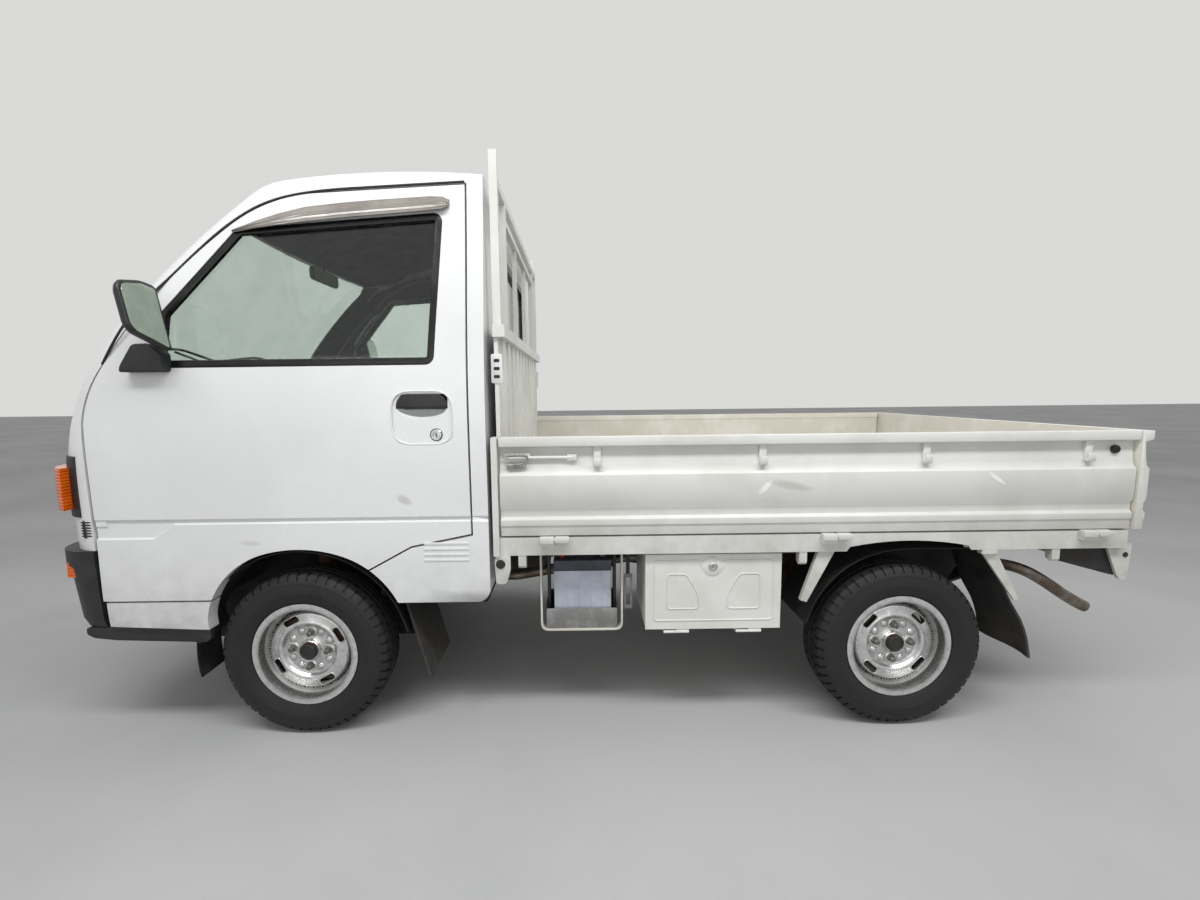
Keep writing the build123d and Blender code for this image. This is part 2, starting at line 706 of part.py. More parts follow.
# Bed deck with its sills and cross ribs
deck_half_width = gate_inner_y - panel_gap
deck_front_x = -284.0
deck_rear_x = tail_inner_x - panel_gap
deck = block(deck_front_x, deck_rear_x, -deck_half_width, deck_half_width, deck_z - deck_sheet, deck_z)
rib_x = [-260, -169.5, 89.5, 230, 375, 520, 700, 1240, 1430, 1625]
for x in rib_x:
    deck += block(x - 22, x + 22, -deck_half_width, deck_half_width, rail_rear_top_z, deck_z - deck_sheet)
sill_front_x = gate_front_x - panel_gap + seat_gap
sill_top_z = gate_bottom_z - panel_gap
sill = block(sill_front_x, deck_rear_x, -sill_face_y, -deck_half_width + 1, rail_rear_top_z, sill_top_z)
sill -= block(-301, deck_rear_x + 1, -sill_face_y + 5, -deck_half_width - 3,
              rail_rear_top_z - 1, sill_top_z - 8)
bed_arch = make_face([
    Line((760, 560), (792, 604)),
    ThreePointArc((792, 604), (rear_axle_x, 622), (1160, 604)),
    Line((1160, 604), (1190, 560)),
    Line((1190, 560), (760, 560)),
])
sill -= side_prism(bed_arch, -900, -640)
deck += sill + mirrored(sill)
hook_x = [-222, 648, 1436]
for x in hook_x:
    hook = front_prism(
        polygon([(-sill_face_y + 2, 600), (-sill_face_y + 2, 556), (-sill_face_y + 10, 548),
                 (-sill_face_y + 26, 556), (-sill_face_y + 30, 600)]),
        x - 12, x + 12,
    )
    deck += hook + mirrored(hook)

# Headboard: corner posts, ribbed plate and top bar
headboard = block(-296, -284.3, -690, 690, rail_rear_top_z, 1262)
for i in range(11):
    y = -600 + i * 120
    headboard += front_prism(
        polygon([(y - 34, 672), (y + 34, 672), (y + 34, 1262), (y - 34, 1262)]), -290, -276,
    )
headboard += block(-298, -262, -700, 700, 1256, 1292)
post = block(bed_front_x, gate_front_x - panel_gap, -half_width, -690, rail_rear_top_z, rail_top_z)
headboard += post + mirrored(post)

# Guard frame over the headboard
guard_y = 672.0
guard_top_z = 1722.0
guard_post_top_z = 1800.0
bar = 24.0
guard = block(-300, -300 + bar, -guard_y, guard_y, guard_top_z - bar, guard_top_z)
for y in (-guard_y + bar / 2, guard_y - bar / 2):
    guard += block(-300, -300 + bar, y - bar / 2, y + bar / 2, 1292, guard_post_top_z)
for y in (-500, 500):
    guard += block(-300, -300 + bar, y - bar / 2, y + bar / 2, 1292, guard_top_z - bar)
guard += block(-298, -278, -500, 500, 1640, 1660)
for y in (-166, 166):
    guard += block(-298, -282, y - 8, y + 8, 1292, 1645)

# Drop sides: one rolled profile, outward distance first and height second
gate_profile = polygon([
    (gate_inner_y, gate_bottom_z), (gate_skin, gate_bottom_z), (gate_skin, 688), (gate_skin - 6, 692),
    (gate_skin - 6, 708), (gate_skin, 712), (gate_skin, 738), (gate_skin - 7, 741),
    (gate_skin - 7, 746), (gate_skin, 749), (gate_skin, 858), (718, 864), (718, 926),
    (half_width, 930), (half_width, rail_top_z), (gate_inner_y - 4, rail_top_z),
    (gate_inner_y - 4, 930), (gate_inner_y, 926),
])
gate_hinges = [-120.0, 744.0, 1543.0]
gate_hooks = [12.0, 515.0, 1014.0, 1510.0]
side_hinge_y = half_width + hinge_out + 3
gate = mirrored(front_prism(gate_profile, gate_front_x, gate_rear_x))


def hinge_pair(x, y, z):
    """Fixed knuckle with its pin, and the leaf knuckle beside it."""
    fixed = rod((x - 45, y, z), (x - 2, y, z), hinge_barrel_radius)
    fixed += rod((x - 4, y, z), (x + 42, y, z), hinge_pin_radius)
    moving = rod((x - 1, y, z), (x + 45, y, z), hinge_barrel_radius)
    moving -= rod((x - 2, y, z), (x + 46, y, z), hinge_pin_radius + pin_clearance)
    return fixed, moving


for x in gate_hinges:
    fixed, moving = hinge_pair(x, -side_hinge_y, hinge_z)
    deck_leaf = block(x - 45, x - 2, -side_hinge_y, -sill_face_y + 3, hinge_z - 22, hinge_z - 3)
    gate_leaf = block(x - 1, x + 45, -side_hinge_y, -gate_skin + 3, hinge_z + 9, hinge_z + 26)
    gate_leaf += block(x - 1, x + 45, -side_hinge_y - 5, -side_hinge_y + 3, hinge_z + 4, hinge_z + 26)
    gate_leaf -= rod((x - 2, -side_hinge_y, hinge_z), (x + 46, -side_hinge_y, hinge_z),
                     hinge_pin_radius + pin_clearance)
    deck += fixed + deck_leaf + mirrored(fixed + deck_leaf)
    gate += moving + gate_leaf
for x in gate_hooks:
    gate += front_prism(
        polygon([(-716, 872), (-738, 872), (-742, 880), (-738, 888),
                 (-728, 886), (-728, 920), (-716, 920)]),
        x - 10, x + 10,
    )
latch = block(-268, -190, -726, -716, 876, 906)
latch += rod((-250, -728, 890), (-60, -728, 890), 6)
gate += latch + block(-80, -50, -730, -716, 880, 900)

# Tailgate: the same profile across the rear
tail_profile = polygon([
    (tail_inner_x, gate_bottom_z), (tail_skin_x - 5, gate_bottom_z), (tail_skin_x - 5, 738),
    (tail_skin_x - 12, 741), (tail_skin_x - 12, 746), (tail_skin_x - 5, 749), (tail_skin_x - 5, 858),
    (tail_skin_x - 20, 864), (tail_skin_x - 20, 926), (tail_skin_x, 930), (tail_skin_x, rail_top_z),
    (tail_inner_x, rail_top_z),
])
tailgate = side_prism(tail_profile, -half_width, half_width)
for y in (-560.0, 0.0, 560.0):
    fixed = rod((tail_hinge_x, y - 45, hinge_z), (tail_hinge_x, y - 2, hinge_z), hinge_barrel_radius)
    fixed += rod((tail_hinge_x, y - 4, hinge_z), (tail_hinge_x, y + 42, hinge_z), hinge_pin_radius)
    moving = rod((tail_hinge_x, y - 1, hinge_z), (tail_hinge_x, y + 45, hinge_z), hinge_barrel_radius)
    leaf = block(tail_hinge_x - 6, tail_hinge_x + 2, y - 1, y + 45, hinge_z, hinge_z + 30)
    moving += leaf
    moving -= rod((tail_hinge_x, y - 2, hinge_z), (tail_hinge_x, y + 46, hinge_z),
                  hinge_pin_radius + pin_clearance)
    deck += fixed + block(deck_rear_x - 20, tail_hinge_x, y - 45, y - 2, hinge_z - 22, hinge_z - 3)
    tailgate += moving

# Rear beam under the bed, with the lamps in it
beam_x = (1668.0, 1678.0)
beam_top_z = rail_rear_top_z - seat_gap
beam = block(*beam_x, -700, 700, 486, beam_top_z)
beam += block(rail_end_x + seat_gap, beam_x[0] + 1, -700, 700, beam_top_z - 5, beam_top_z)
end_plate = side_prism(
    polygon([(1612, beam_top_z), (1685, beam_top_z), (1676, 484), (1656, 484)]), -704, -699,
)
rear_beam = beam + end_plate + mirrored(end_plate)
rear_lamp_y = (-640.0, -440.0)
rear_lamp_z = (504.0, 572.0)
lamp_cut = block(1650, 1700, *rear_lamp_y, *rear_lamp_z)
rear_beam -= lamp_cut + mirrored(lamp_cut)
plate_bolt_spacing = 210.0
plate_bolt_radius = 3.5
plate_bolt_z = 560.0
for y in (-plate_bolt_spacing / 2, plate_bolt_spacing / 2):
    rear_beam -= rod((1650, y, plate_bolt_z), (1700, y, plate_bolt_z), plate_bolt_radius)
rear_lamp = block(
    beam_x[0] - 20, beam_x[1] + 7, rear_lamp_y[0] + seat_gap, rear_lamp_y[1] - seat_gap,
    rear_lamp_z[0] + seat_gap, rear_lamp_z[1] - seat_gap,
)
rear_lamps = [rear_lamp, mirrored(rear_lamp)]

# Mud flaps and the bed's stays beside the rear wheels
flap_top_z = rear_sill_z - seat_gap
front_flap = side_prism(
    polygon([(-598, flap_top_z), (-590, flap_top_z), (-522, 190), (-530, 190)]), -706, -470)
rear_flap = side_prism(polygon([(1262, 560), (1270, 560), (1352, 222), (1344, 222)]), -706, -500)
mud_flaps = [front_flap, mirrored(front_flap), rear_flap, mirrored(rear_flap)]
stay_top_z = rail_rear_top_z - seat_gap
stay_front = side_prism(
    polygon([(700, stay_top_z), (752, stay_top_z), (668, 424), (648, 430)]), -716, -700)
stay_rear = side_prism(
    polygon([(1204, stay_top_z), (1252, stay_top_z), (1340, 424), (1326, 420)]), -716, -706.3)
stay_rear += block(1204, 1252, -sill_face_y + seat_gap, -706.3, stay_top_z - 14, stay_top_z)
bed_stays = [stay_front, mirrored(stay_front), stay_rear, mirrored(stay_rear)]

# Door hardware: hinge pins and door mirror
for z in door_hinge_levels:
    low = z - panel_gap / 2
    high = z + door_arm_height
    pin = rod((door_hinge_x, door_hinge_y, z), (door_hinge_x, door_hinge_y, high + 22), door_pin_radius)
    pin += rod((door_hinge_x, door_hinge_y, z), (door_hinge_x, door_hinge_y, high), door_arm_radius)
    pin += block(door_hinge_x - 4, door_hinge_x + 4, door_hinge_y, -676, z, high)
    pin += block(door_front_x - 30, door_hinge_x + 4, -690, -676, z, high)
    front_panel += pin + mirrored(pin)
    slot = block(
        door_front_x - 20, door_hinge_x + door_arm_radius + 2,
        door_hinge_y - door_arm_radius - 0.5, -600, low, high + 1,
    )
    hole = rod((door_hinge_x, door_hinge_y, z), (door_hinge_x, door_hinge_y, high + 24),
               door_pin_radius + pin_clearance)
    door -= slot
    door -= hole

mirror_head = Pos(-1290, -812, 1320) * Rot(0, 0, 14) * fillet(
    Box(74, 150, 170).edges(), 22)
mirror_arm = block(-1330, -1296, -800, -722, 1176, 1200)
mirror_arm += block(-1330, -1296, -812, -786, 1176, 1260)
mirror_foot = side_prism(polygon([(-1386, 1176), (-1290, 1176), (-1296, 1210), (-1340, 1226)]), -738, -716)
door_mirror = mirror_head + mirror_arm + mirror_foot - cab_form(-seat_gap)

visor_path = side_prism(
    polygon([(-1072, 1582), (-840, 1668), (-425, 1676), (-425, 1640), (-840, 1628)]), -760, -500)
visor = (cab_form(-14.0) - cab_form(-seat_gap)) & visor_path

# Door handles: a shallow surround with a deeper pocket for the grip
handle_surround = rounded([(-588, 940), (-419, 940), (-419, 1096), (-588, 1096)], 18)
grip_opening = rounded([(-577, 1041), (-433, 1041), (-433, 1088), (-577, 1088)], 16)
door -= side_prism(handle_surround, -760, -731)
door -= side_prism(grip_opening, -760, -704)

save("door_left", door)
save("door_right", mirrored(door))
save("door_glass_left", door_glass)
save("door_glass_right", mirrored(door_glass))
save("door_mirror_left", door_mirror)
save("door_mirror_right", mirrored(door_mirror))
save("rain_visor_left", visor)
save("rain_visor_right", mirrored(visor))
save("cab_roof", roof)
save("cab_front_panel", front_panel)
save("cab_back_panel", back_panel)
save("cab_side_left", side_left)
save("cab_side_right", mirrored(side_left))
save("cab_floor", cab_floor)
save("windscreen", windscreen)
save("rear_window", rear_window)
save("front_bumper", bumper)
save("headlamps", headlamp, mirrored(headlamp))
save("front_turn_lamps", turn_lamp, mirrored(turn_lamp))
save("dashboard", dash)
save("steering_column", column)
save("steering_wheel", steering_wheel)
save("seats", seat_left, seat_right)
save("chassis_frame", chassis)
save("front_suspension", front_suspension)
save("knuckle_left", knuckle)
save("knuckle_right", mirrored(knuckle))
save("rear_axle", rear_axle)
save("rear_springs", *rear_springs)
for name, shape in wheels.items():
    save(name, shape)
save("engine", engine)
save("gearbox", gearbox)
save("propshaft", propshaft)
save("exhaust", exhaust)
save("fuel_tank", fuel_tank)
save("battery", battery)
save("battery_tray", tray)
save("toolbox", toolbox)
save("toolbox_lid", lid)
save("bed_deck", deck)
save("headboard", headboard)
save("guard_frame", guard)
save("side_gate_left", gate)
save("side_gate_right", mirrored(gate))
save("tailgate", tailgate)
save("rear_beam", rear_beam)
save("rear_lamps", *rear_lamps)
save("mud_flaps", *mud_flaps)
save("bed_stays", *bed_stays)
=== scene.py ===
import json
import math

import bpy
from mathutils import Matrix, Vector
from mathutils.bvhtree import BVHTree

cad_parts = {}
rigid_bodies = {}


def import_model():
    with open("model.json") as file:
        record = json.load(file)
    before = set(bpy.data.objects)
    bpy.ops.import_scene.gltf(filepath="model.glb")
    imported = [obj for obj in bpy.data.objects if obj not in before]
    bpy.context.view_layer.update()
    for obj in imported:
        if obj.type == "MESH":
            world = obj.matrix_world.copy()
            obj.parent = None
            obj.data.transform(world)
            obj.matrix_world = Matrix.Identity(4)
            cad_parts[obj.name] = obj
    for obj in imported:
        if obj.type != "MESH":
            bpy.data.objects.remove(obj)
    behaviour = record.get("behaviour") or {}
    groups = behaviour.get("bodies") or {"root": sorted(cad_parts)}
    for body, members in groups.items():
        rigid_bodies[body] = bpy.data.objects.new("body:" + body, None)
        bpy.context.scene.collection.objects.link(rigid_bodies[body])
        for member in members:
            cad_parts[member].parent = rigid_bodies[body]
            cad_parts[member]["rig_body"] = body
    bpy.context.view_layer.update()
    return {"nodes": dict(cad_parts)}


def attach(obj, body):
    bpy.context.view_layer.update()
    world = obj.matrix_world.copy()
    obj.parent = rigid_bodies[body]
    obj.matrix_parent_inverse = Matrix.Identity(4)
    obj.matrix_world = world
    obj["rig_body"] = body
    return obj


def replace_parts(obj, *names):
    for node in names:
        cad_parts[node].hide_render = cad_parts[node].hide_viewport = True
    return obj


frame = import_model()


# The room: a pale floor, a pale wall of light round it, soft lamps overhead and
# in front, and a camera at the side of the truck, as the photograph has it.
def linear(code):
    """The linear colour of an sRGB hex code."""
    out = []
    for i in (1, 3, 5):
        c = int(code[i:i + 2], 16) / 255
        out.append(c / 12.92 if c <= 0.04045 else ((c + 0.055) / 1.055) ** 2.4)
    return (*out, 1.0)


def node(tree, kind, links=(), **settings):
    """Adds a shader node; links gives each input a value or another node's output."""
    made = tree.nodes.new(kind)
    for key, value in settings.items():
        setattr(made, key, value)
    for key, value in dict(links).items():
        if isinstance(value, bpy.types.NodeSocket):
            tree.links.new(value, made.inputs[key])
        else:
            made.inputs[key].default_value = value
    return made


def colour_steps(tree, level, stops, between="LINEAR"):
    """Turns a level into a colour: each stop is a level and the linear colour there."""
    made = node(tree, "ShaderNodeValToRGB", {"Fac": level})
    ramp = made.color_ramp
    ramp.interpolation = between
    for stop, (place, colour) in zip(ramp.elements, stops):
        stop.position = place
        stop.color = colour
    for place, colour in stops[2:]:
        ramp.elements.new(place).color = colour
    return made.outputs["Color"]


def surface(material):
    """A finish's node tree and the shader in it."""
    return material.node_tree, material.node_tree.nodes["Principled BSDF"]


def raise_relief(material, height, strength, depth):
    """Gives a finish the relief of a height pattern, depth metres deep at most."""
    tree, shader = surface(material)
    bump = node(tree, "ShaderNodeBump", {"Height": height, "Strength": strength, "Distance": depth})
    tree.links.new(bump.outputs["Normal"], shader.inputs["Normal"])


def finish(name, clean, soiled, roughness, metallic=0.0, patch_mm=180, share=0.35, grain_mm=1.2,
           relief=0.1, **sockets):
    """A finish with soft patches of a second colour, a gloss that varies with them, and a fine relief."""
    made = bpy.data.materials.new(name)
    made.use_nodes = True
    tree, shader = surface(made)
    shader.inputs["Metallic"].default_value = metallic
    for key, value in sockets.items():
        shader.inputs[key.replace("_", " ")].default_value = value
    spot = node(tree, "ShaderNodeTexCoord")
    cloud = node(tree, "ShaderNodeTexNoise", {"Vector": spot.outputs["Object"], "Scale": 1000 / patch_mm,
                                              "Detail": 6.0, "Roughness": 0.6})
    patches = colour_steps(tree, cloud.outputs["Fac"], [(0.28 + 0.4 * share, linear(soiled)),
                                                        (0.42 + 0.4 * share, linear(clean))])
    tree.links.new(patches, shader.inputs["Base Color"])
    gloss = node(tree, "ShaderNodeMapRange",
                 {"Value": cloud.outputs["Fac"], "From Min": 0.35, "From Max": 0.65,
                  "To Min": min(roughness * 1.3, 1.0), "To Max": roughness * 0.85})
    tree.links.new(gloss.outputs["Result"], shader.inputs["Roughness"])
    grain = node(tree, "ShaderNodeTexNoise",
                 {"Vector": spot.outputs["Object"], "Scale": 1000 / grain_mm, "Detail": 3.0})
    raise_relief(made, grain.outputs["Fac"], relief, grain_mm / 4000)
    return made


def only(made):
    """Selects one object and nothing else."""
    bpy.ops.object.select_all(action="DESELECT")
    made.select_set(True)
    bpy.context.view_layer.objects.active = made


# trowelled concrete: even and dull, with barely darker clouds a metre or two wide
concrete = finish("concrete, smooth trowelled", "#B6B7B6", "#B0B1B1", 0.8, patch_mm=1600, grain_mm=3,
                  relief=0.0)
bpy.ops.object.select_all(action="DESELECT")
bpy.ops.mesh.primitive_plane_add(size=1, location=(0, 0, 0))
floor = bpy.context.object
floor.name = "studio_floor"
floor.scale = (80, 60, 1)
bpy.ops.object.transform_apply(location=False, rotation=False, scale=True)
floor.data.materials.append(concrete)

# the room lights the truck dimly, but shows pale to the camera, in gloss and through glass
world = bpy.data.worlds.new("pale room")
bpy.context.scene.world = world
world.use_nodes = True
tree = world.node_tree
tree.nodes.clear()
paths = node(tree, "ShaderNodeLightPath")
seen = node(tree, "ShaderNodeMath", {0: paths.outputs["Is Camera Ray"], 1: paths.outputs["Is Glossy Ray"]},
            operation="MAXIMUM")
seen = node(tree, "ShaderNodeMath", {0: seen.outputs[0], 1: paths.outputs["Is Transmission Ray"]},
            operation="MAXIMUM")
dim = node(tree, "ShaderNodeBackground", {"Color": linear("#FFFFFF"), "Strength": 0.46})
wall = node(tree, "ShaderNodeBackground", {"Color": linear("#DADAD8"), "Strength": 1.0})
mixed = node(tree, "ShaderNodeMixShader", {0: seen.outputs[0], 1: dim.outputs[0], 2: wall.outputs[0]})
node(tree, "ShaderNodeOutputWorld", {"Surface": mixed.outputs[0]})

# name, place, size in metres, watts, point aimed at
for name, spot, size, power, aim in (
    ("ceiling_tube", (0.2, -2.1, 3.3), (5.0, 0.5), 104, (0.2, -0.6, 0.6)),
    ("ceiling_back", (0.4, 2.2, 3.6), (5.0, 1.0), 40, (0.2, 0.0, 0.6)),
    ("side_fill", (0.0, -5.0, 1.3), (6.0, 2.2), 30, (0.0, 0.0, 0.6)),
):
    lamp = bpy.data.lights.new(name, "AREA")
    lamp.shape = "RECTANGLE"
    lamp.size, lamp.size_y = size
    lamp.energy = power
    lit = bpy.data.objects.new(name, lamp)
    bpy.context.scene.collection.objects.link(lit)
    lit.location = spot
    lit.rotation_euler = (Vector(aim) - Vector(spot)).to_track_quat("-Z", "Y").to_euler()

# the camera as the photograph's own lines give it: turns in radians, the rest in
# pixels of its 1200 by 900 frame, where the lens looks at a point off the middle
yaw, pitch, roll = 0.0064, 0.113, -0.0109
frame_width, frame_height, focal_length = 1200, 900, 532.7
aimed_x, aimed_y = 584.25, 452.8
ahead = Vector((math.sin(yaw) * math.cos(pitch), math.cos(yaw) * math.cos(pitch), -math.sin(pitch)))
right = Vector((math.cos(yaw), -math.sin(yaw), 0))
up = right.cross(ahead)
turned_right = right * math.cos(roll) + up * math.sin(roll)
turned_up = up * math.cos(roll) - right * math.sin(roll)
lens = bpy.data.cameras.new("camera")
lens.sensor_width = 36.0
lens.lens = focal_length / frame_width * lens.sensor_width
lens.shift_x = (frame_width / 2 - aimed_x) / frame_width
lens.shift_y = (aimed_y - frame_height / 2) / frame_width
lens.clip_start = 0.05
camera = bpy.data.objects.new("camera", lens)
bpy.context.scene.collection.objects.link(camera)
camera.matrix_world = Matrix.Translation((-0.0373, -2.3251, 1.0877)) @ Matrix((
    (turned_right.x, turned_up.x, -ahead.x, 0),
    (turned_right.y, turned_up.y, -ahead.y, 0),
    (turned_right.z, turned_up.z, -ahead.z, 0),
    (0, 0, 0, 1),
))
bpy.context.scene.camera = camera
bpy.context.scene.view_settings.view_transform = "Standard"


# Cab shell: pressed steel panels, spot welded, sprayed in white enamel and baked.
# Smooth and glossy, a little orange-peeled, with road film low on the sides.
# Inside, the pillars and roof are lined with dark moulded felt.
def lay_over(material, share, colour):
    """Lays a second colour over a finish, by a share from 0 to 1 at each point."""
    tree, shader = surface(material)
    before = shader.inputs["Base Color"].links[0].from_socket
    mixed = node(tree, "ShaderNodeMix", {0: share, 6: before, 7: linear(colour)}, data_type="RGBA")
    tree.links.new(mixed.outputs[2], shader.inputs["Base Color"])


def soiled_below(material, dirt, top, bottom, amount, patch_mm=90):
    """Road film that thickens downward between two heights, in patches."""
    tree = material.node_tree
    spot = node(tree, "ShaderNodeTexCoord")
    place = node(tree, "ShaderNodeSeparateXYZ", {"Vector": spot.outputs["Object"]})
    fall = node(tree, "ShaderNodeMapRange", {"Value": place.outputs["Z"], "From Min": top, "From Max": bottom,
                                             "To Min": 0.0, "To Max": amount})
    cloud = node(tree, "ShaderNodeTexNoise", {"Vector": spot.outputs["Object"], "Scale": 1000 / patch_mm,
                                              "Detail": 8.0, "Roughness": 0.65})
    cover = node(tree, "ShaderNodeMapRange", {"Value": cloud.outputs["Fac"], "From Min": 0.38,
                                              "From Max": 0.62, "To Min": 0.25, "To Max": 1.0})
    share = node(tree, "ShaderNodeMath", {0: fall.outputs["Result"], 1: cover.outputs["Result"]},
                 operation="MULTIPLY")
    lay_over(material, share.outputs[0], dirt)


def spotted(material, colour, size_mm, rarity, stretch=(1, 1, 1)):
    """Small sharp-edged spots or streaks: rust, chips or splashes. Rarity is from 0 to 1."""
    tree = material.node_tree
    spot = node(tree, "ShaderNodeTexCoord")
    turned_spot = node(tree, "ShaderNodeMapping", {"Vector": spot.outputs["Object"], "Scale": stretch})
    cloud = node(tree, "ShaderNodeTexNoise", {"Vector": turned_spot.outputs["Vector"],
                                              "Scale": 1000 / size_mm, "Detail": 5.0, "Roughness": 0.7})
    edge = 0.5 + 0.28 * rarity
    share = node(tree, "ShaderNodeMapRange", {"Value": cloud.outputs["Fac"], "From Min": edge,
                                              "From Max": edge + 0.04, "To Min": 0.0, "To Max": 1.0})
    lay_over(material, share.outputs["Result"], colour)


def scuffed(material, colour, centre, half, turn, strength):
    """A scuff mark: a soft ellipse on the side, broken into fine streaks along its length."""
    tree = material.node_tree
    spot = node(tree, "ShaderNodeTexCoord")
    local = node(tree, "ShaderNodeMapping",
                 {"Vector": spot.outputs["Object"], "Location": centre, "Rotation": (0, turn, 0),
                  "Scale": (half[0], 0.2, half[1])}, vector_type="TEXTURE")
    ball = node(tree, "ShaderNodeTexGradient", {"Vector": local.outputs["Vector"]},
                gradient_type="SPHERICAL")
    streak = node(tree, "ShaderNodeTexNoise", {"Vector": local.outputs["Vector"], "Scale": 2.6,
                                               "Detail": 6.0, "Roughness": 0.75})
    level = node(tree, "ShaderNodeMath", {0: ball.outputs["Fac"], 1: streak.outputs["Fac"]},
                 operation="MULTIPLY")
    share = node(tree, "ShaderNodeMapRange", {"Value": level.outputs[0], "From Min": 0.1,
                                              "From Max": 0.32, "To Min": 0.0, "To Max": strength})
    lay_over(material, share.outputs["Result"], colour)


# baked enamel: glossy under a clear coat, its orange peel 6 mm across and very shallow
cab_paint = finish("white enamel, sprayed and baked", "#DFE0E1", "#DADBDB", 0.3, patch_mm=420, grain_mm=6,
                   relief=0.03, Coat_Weight=0.45, Coat_Roughness=0.1)
soiled_below(cab_paint, "#8C8A84", 0.66, 0.33, 0.5, 70)
spotted(cab_paint, "#A9A49B", 9, 0.92)
scuffed(cab_paint, "#9C9C9A", (-0.575, -0.732, 0.769), (0.035, 0.02), 0.5, 0.5)
scuffed(cab_paint, "#A8A8A6", (-1.05, -0.732, 0.64), (0.05, 0.012), 0.1, 0.35)
# pressed felt: dull and nearly black, with a visible nap
liner_felt = finish("polyester felt, pressed, dark grey", "#323435", "#2A2C2D", 0.9, patch_mm=60,
                    grain_mm=1.5, relief=0.6)
both_sides = ((-1, "left"), (1, "right"))
# points nearer than this, in metres, are one; a panel's edges from this angle up, in degrees, stay sharp
cad_weld, own_weld = 0.00002, 0.00001
fold_angle = 28
skins = {}


def welded_copy(name, cad):
    """A copy of a CAD node's mesh, with its loose triangles welded."""
    made = bpy.data.objects.new(name, cad.data.copy())
    bpy.context.scene.collection.objects.link(made)
    only(made)
    if made.data.has_custom_normals:
        bpy.ops.mesh.customdata_custom_splitnormals_clear()
    bpy.ops.object.mode_set(mode="EDIT")
    bpy.ops.mesh.select_all(action="SELECT")
    bpy.ops.mesh.remove_doubles(threshold=cad_weld)
    bpy.ops.object.mode_set(mode="OBJECT")
    return made


def panel(name, material, angle=fold_angle, lining=None, lined=None):
    """Welds a CAD node's loose triangles into a skin that is smooth except at its folds.
    Faces that pass the lined test get the lining instead."""
    cad = frame["nodes"][name]
    made = welded_copy(name + "_skin", cad)
    bpy.ops.object.shade_smooth_by_angle(angle=math.radians(angle))
    made.data.materials.clear()
    made.data.materials.append(material)
    if lining:
        line_faces(made, lining, lined)
    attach(made, cad["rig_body"])
    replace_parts(made, name)
    skins[name] = made
    return made


def line_faces(made, lining, lined):
    """Gives the faces whose middle and normal pass a test a second material."""
    made.data.materials.append(lining)
    for face in made.data.polygons:
        face.material_index = 1 if lined(face.center, face.normal) else 0


panel("cab_roof", cab_paint, lining=liner_felt, lined=lambda c, n: n.z < -0.2)
panel("cab_front_panel", cab_paint, lining=liner_felt, lined=lambda c, n: n.x > 0.3 and abs(c.y) < 0.68)
panel("cab_back_panel", cab_paint, lining=liner_felt, lined=lambda c, n: n.x < -0.3)
for side, label in both_sides:
    panel(f"cab_side_{label}", cab_paint, lining=liner_felt,
          lined=lambda c, n: n.y * side < -0.25 and c.z > 0.66 and abs(c.y) < 0.71)


def face_mode():
    """Edit mode, choosing faces, with nothing chosen."""
    bpy.context.tool_settings.mesh_select_mode = (False, False, True)
    bpy.ops.object.mode_set(mode="EDIT")
    bpy.ops.mesh.select_all(action="DESELECT")


def choose(made, test):
    """In edit mode, chooses the faces whose middle and normal pass a test."""
    face_mode()
    bpy.ops.object.mode_set(mode="OBJECT")
    for face in made.data.polygons:
        face.select = bool(test(face.center, face.normal))
    bpy.ops.object.mode_set(mode="EDIT")


def settle(made, name, material, body, angle=35):
    """Ends a piece: its place goes into its mesh, its faces point out, and it rides on a body."""
    made.name = name
    only(made)
    bpy.ops.object.transform_apply(location=True, rotation=True, scale=True)
    bpy.ops.object.mode_set(mode="EDIT")
    bpy.ops.mesh.select_all(action="SELECT")
    bpy.ops.mesh.remove_doubles(threshold=own_weld)
    bpy.ops.mesh.normals_make_consistent(inside=False)
    bpy.ops.object.mode_set(mode="OBJECT")
    bpy.ops.object.shade_smooth_by_angle(angle=math.radians(angle))
    made.data.materials.clear()
    made.data.materials.append(material)
    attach(made, body)
    return made


def other_side(made):
    """The same piece on the truck's right side, with its own mesh, its faces turned out again."""
    twin = bpy.data.objects.new(made.name, made.data.copy())
    bpy.context.scene.collection.objects.link(twin)
    twin.scale = (1, -1, 1)
    name, body = (words.replace("left", "right") for words in (made.name, made["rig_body"]))
    return settle(twin, name, made.data.materials[0], body)


def bevelled(made, width, segments=2, angle=40):
    """Rounds the piece's sharp edges."""
    only(made)
    soft = made.modifiers.new("soft edges", "BEVEL")
    soft.width = width
    soft.segments = segments
    soft.limit_method = "ANGLE"
    soft.angle_limit = math.radians(angle)
    bpy.ops.object.modifier_apply(modifier=soft.name)


def bar(name, low, high, material, body, soft=0.0015, segments=2):
    """A straight piece with rounded edges between two corners."""
    bpy.ops.object.select_all(action="DESELECT")
    bpy.ops.mesh.primitive_cube_add(size=1, location=[(a + b) / 2 for a, b in zip(low, high)])
    made = bpy.context.object
    made.scale = [b - a for a, b in zip(low, high)]
    bpy.ops.object.transform_apply(location=True, rotation=False, scale=True)
    bevelled(made, soft, segments)
    return settle(made, name, material, body)


def round_off(points, radius, steps=5):
    """Rounds an outline's corners."""
    out = []
    count = len(points)
    for i, point in enumerate(points):
        p = Vector(point)
        a = Vector(points[i - 1]) - p
        b = Vector(points[(i + 1) % count]) - p
        reach = min(radius, a.length * 0.45, b.length * 0.45)
        start, end = p + a.normalized() * reach, p + b.normalized() * reach
        for k in range(steps + 1):
            t = k / steps
            out.append(tuple(start * (1 - t) ** 2 + p * 2 * t * (1 - t) + end * t ** 2))
    return out


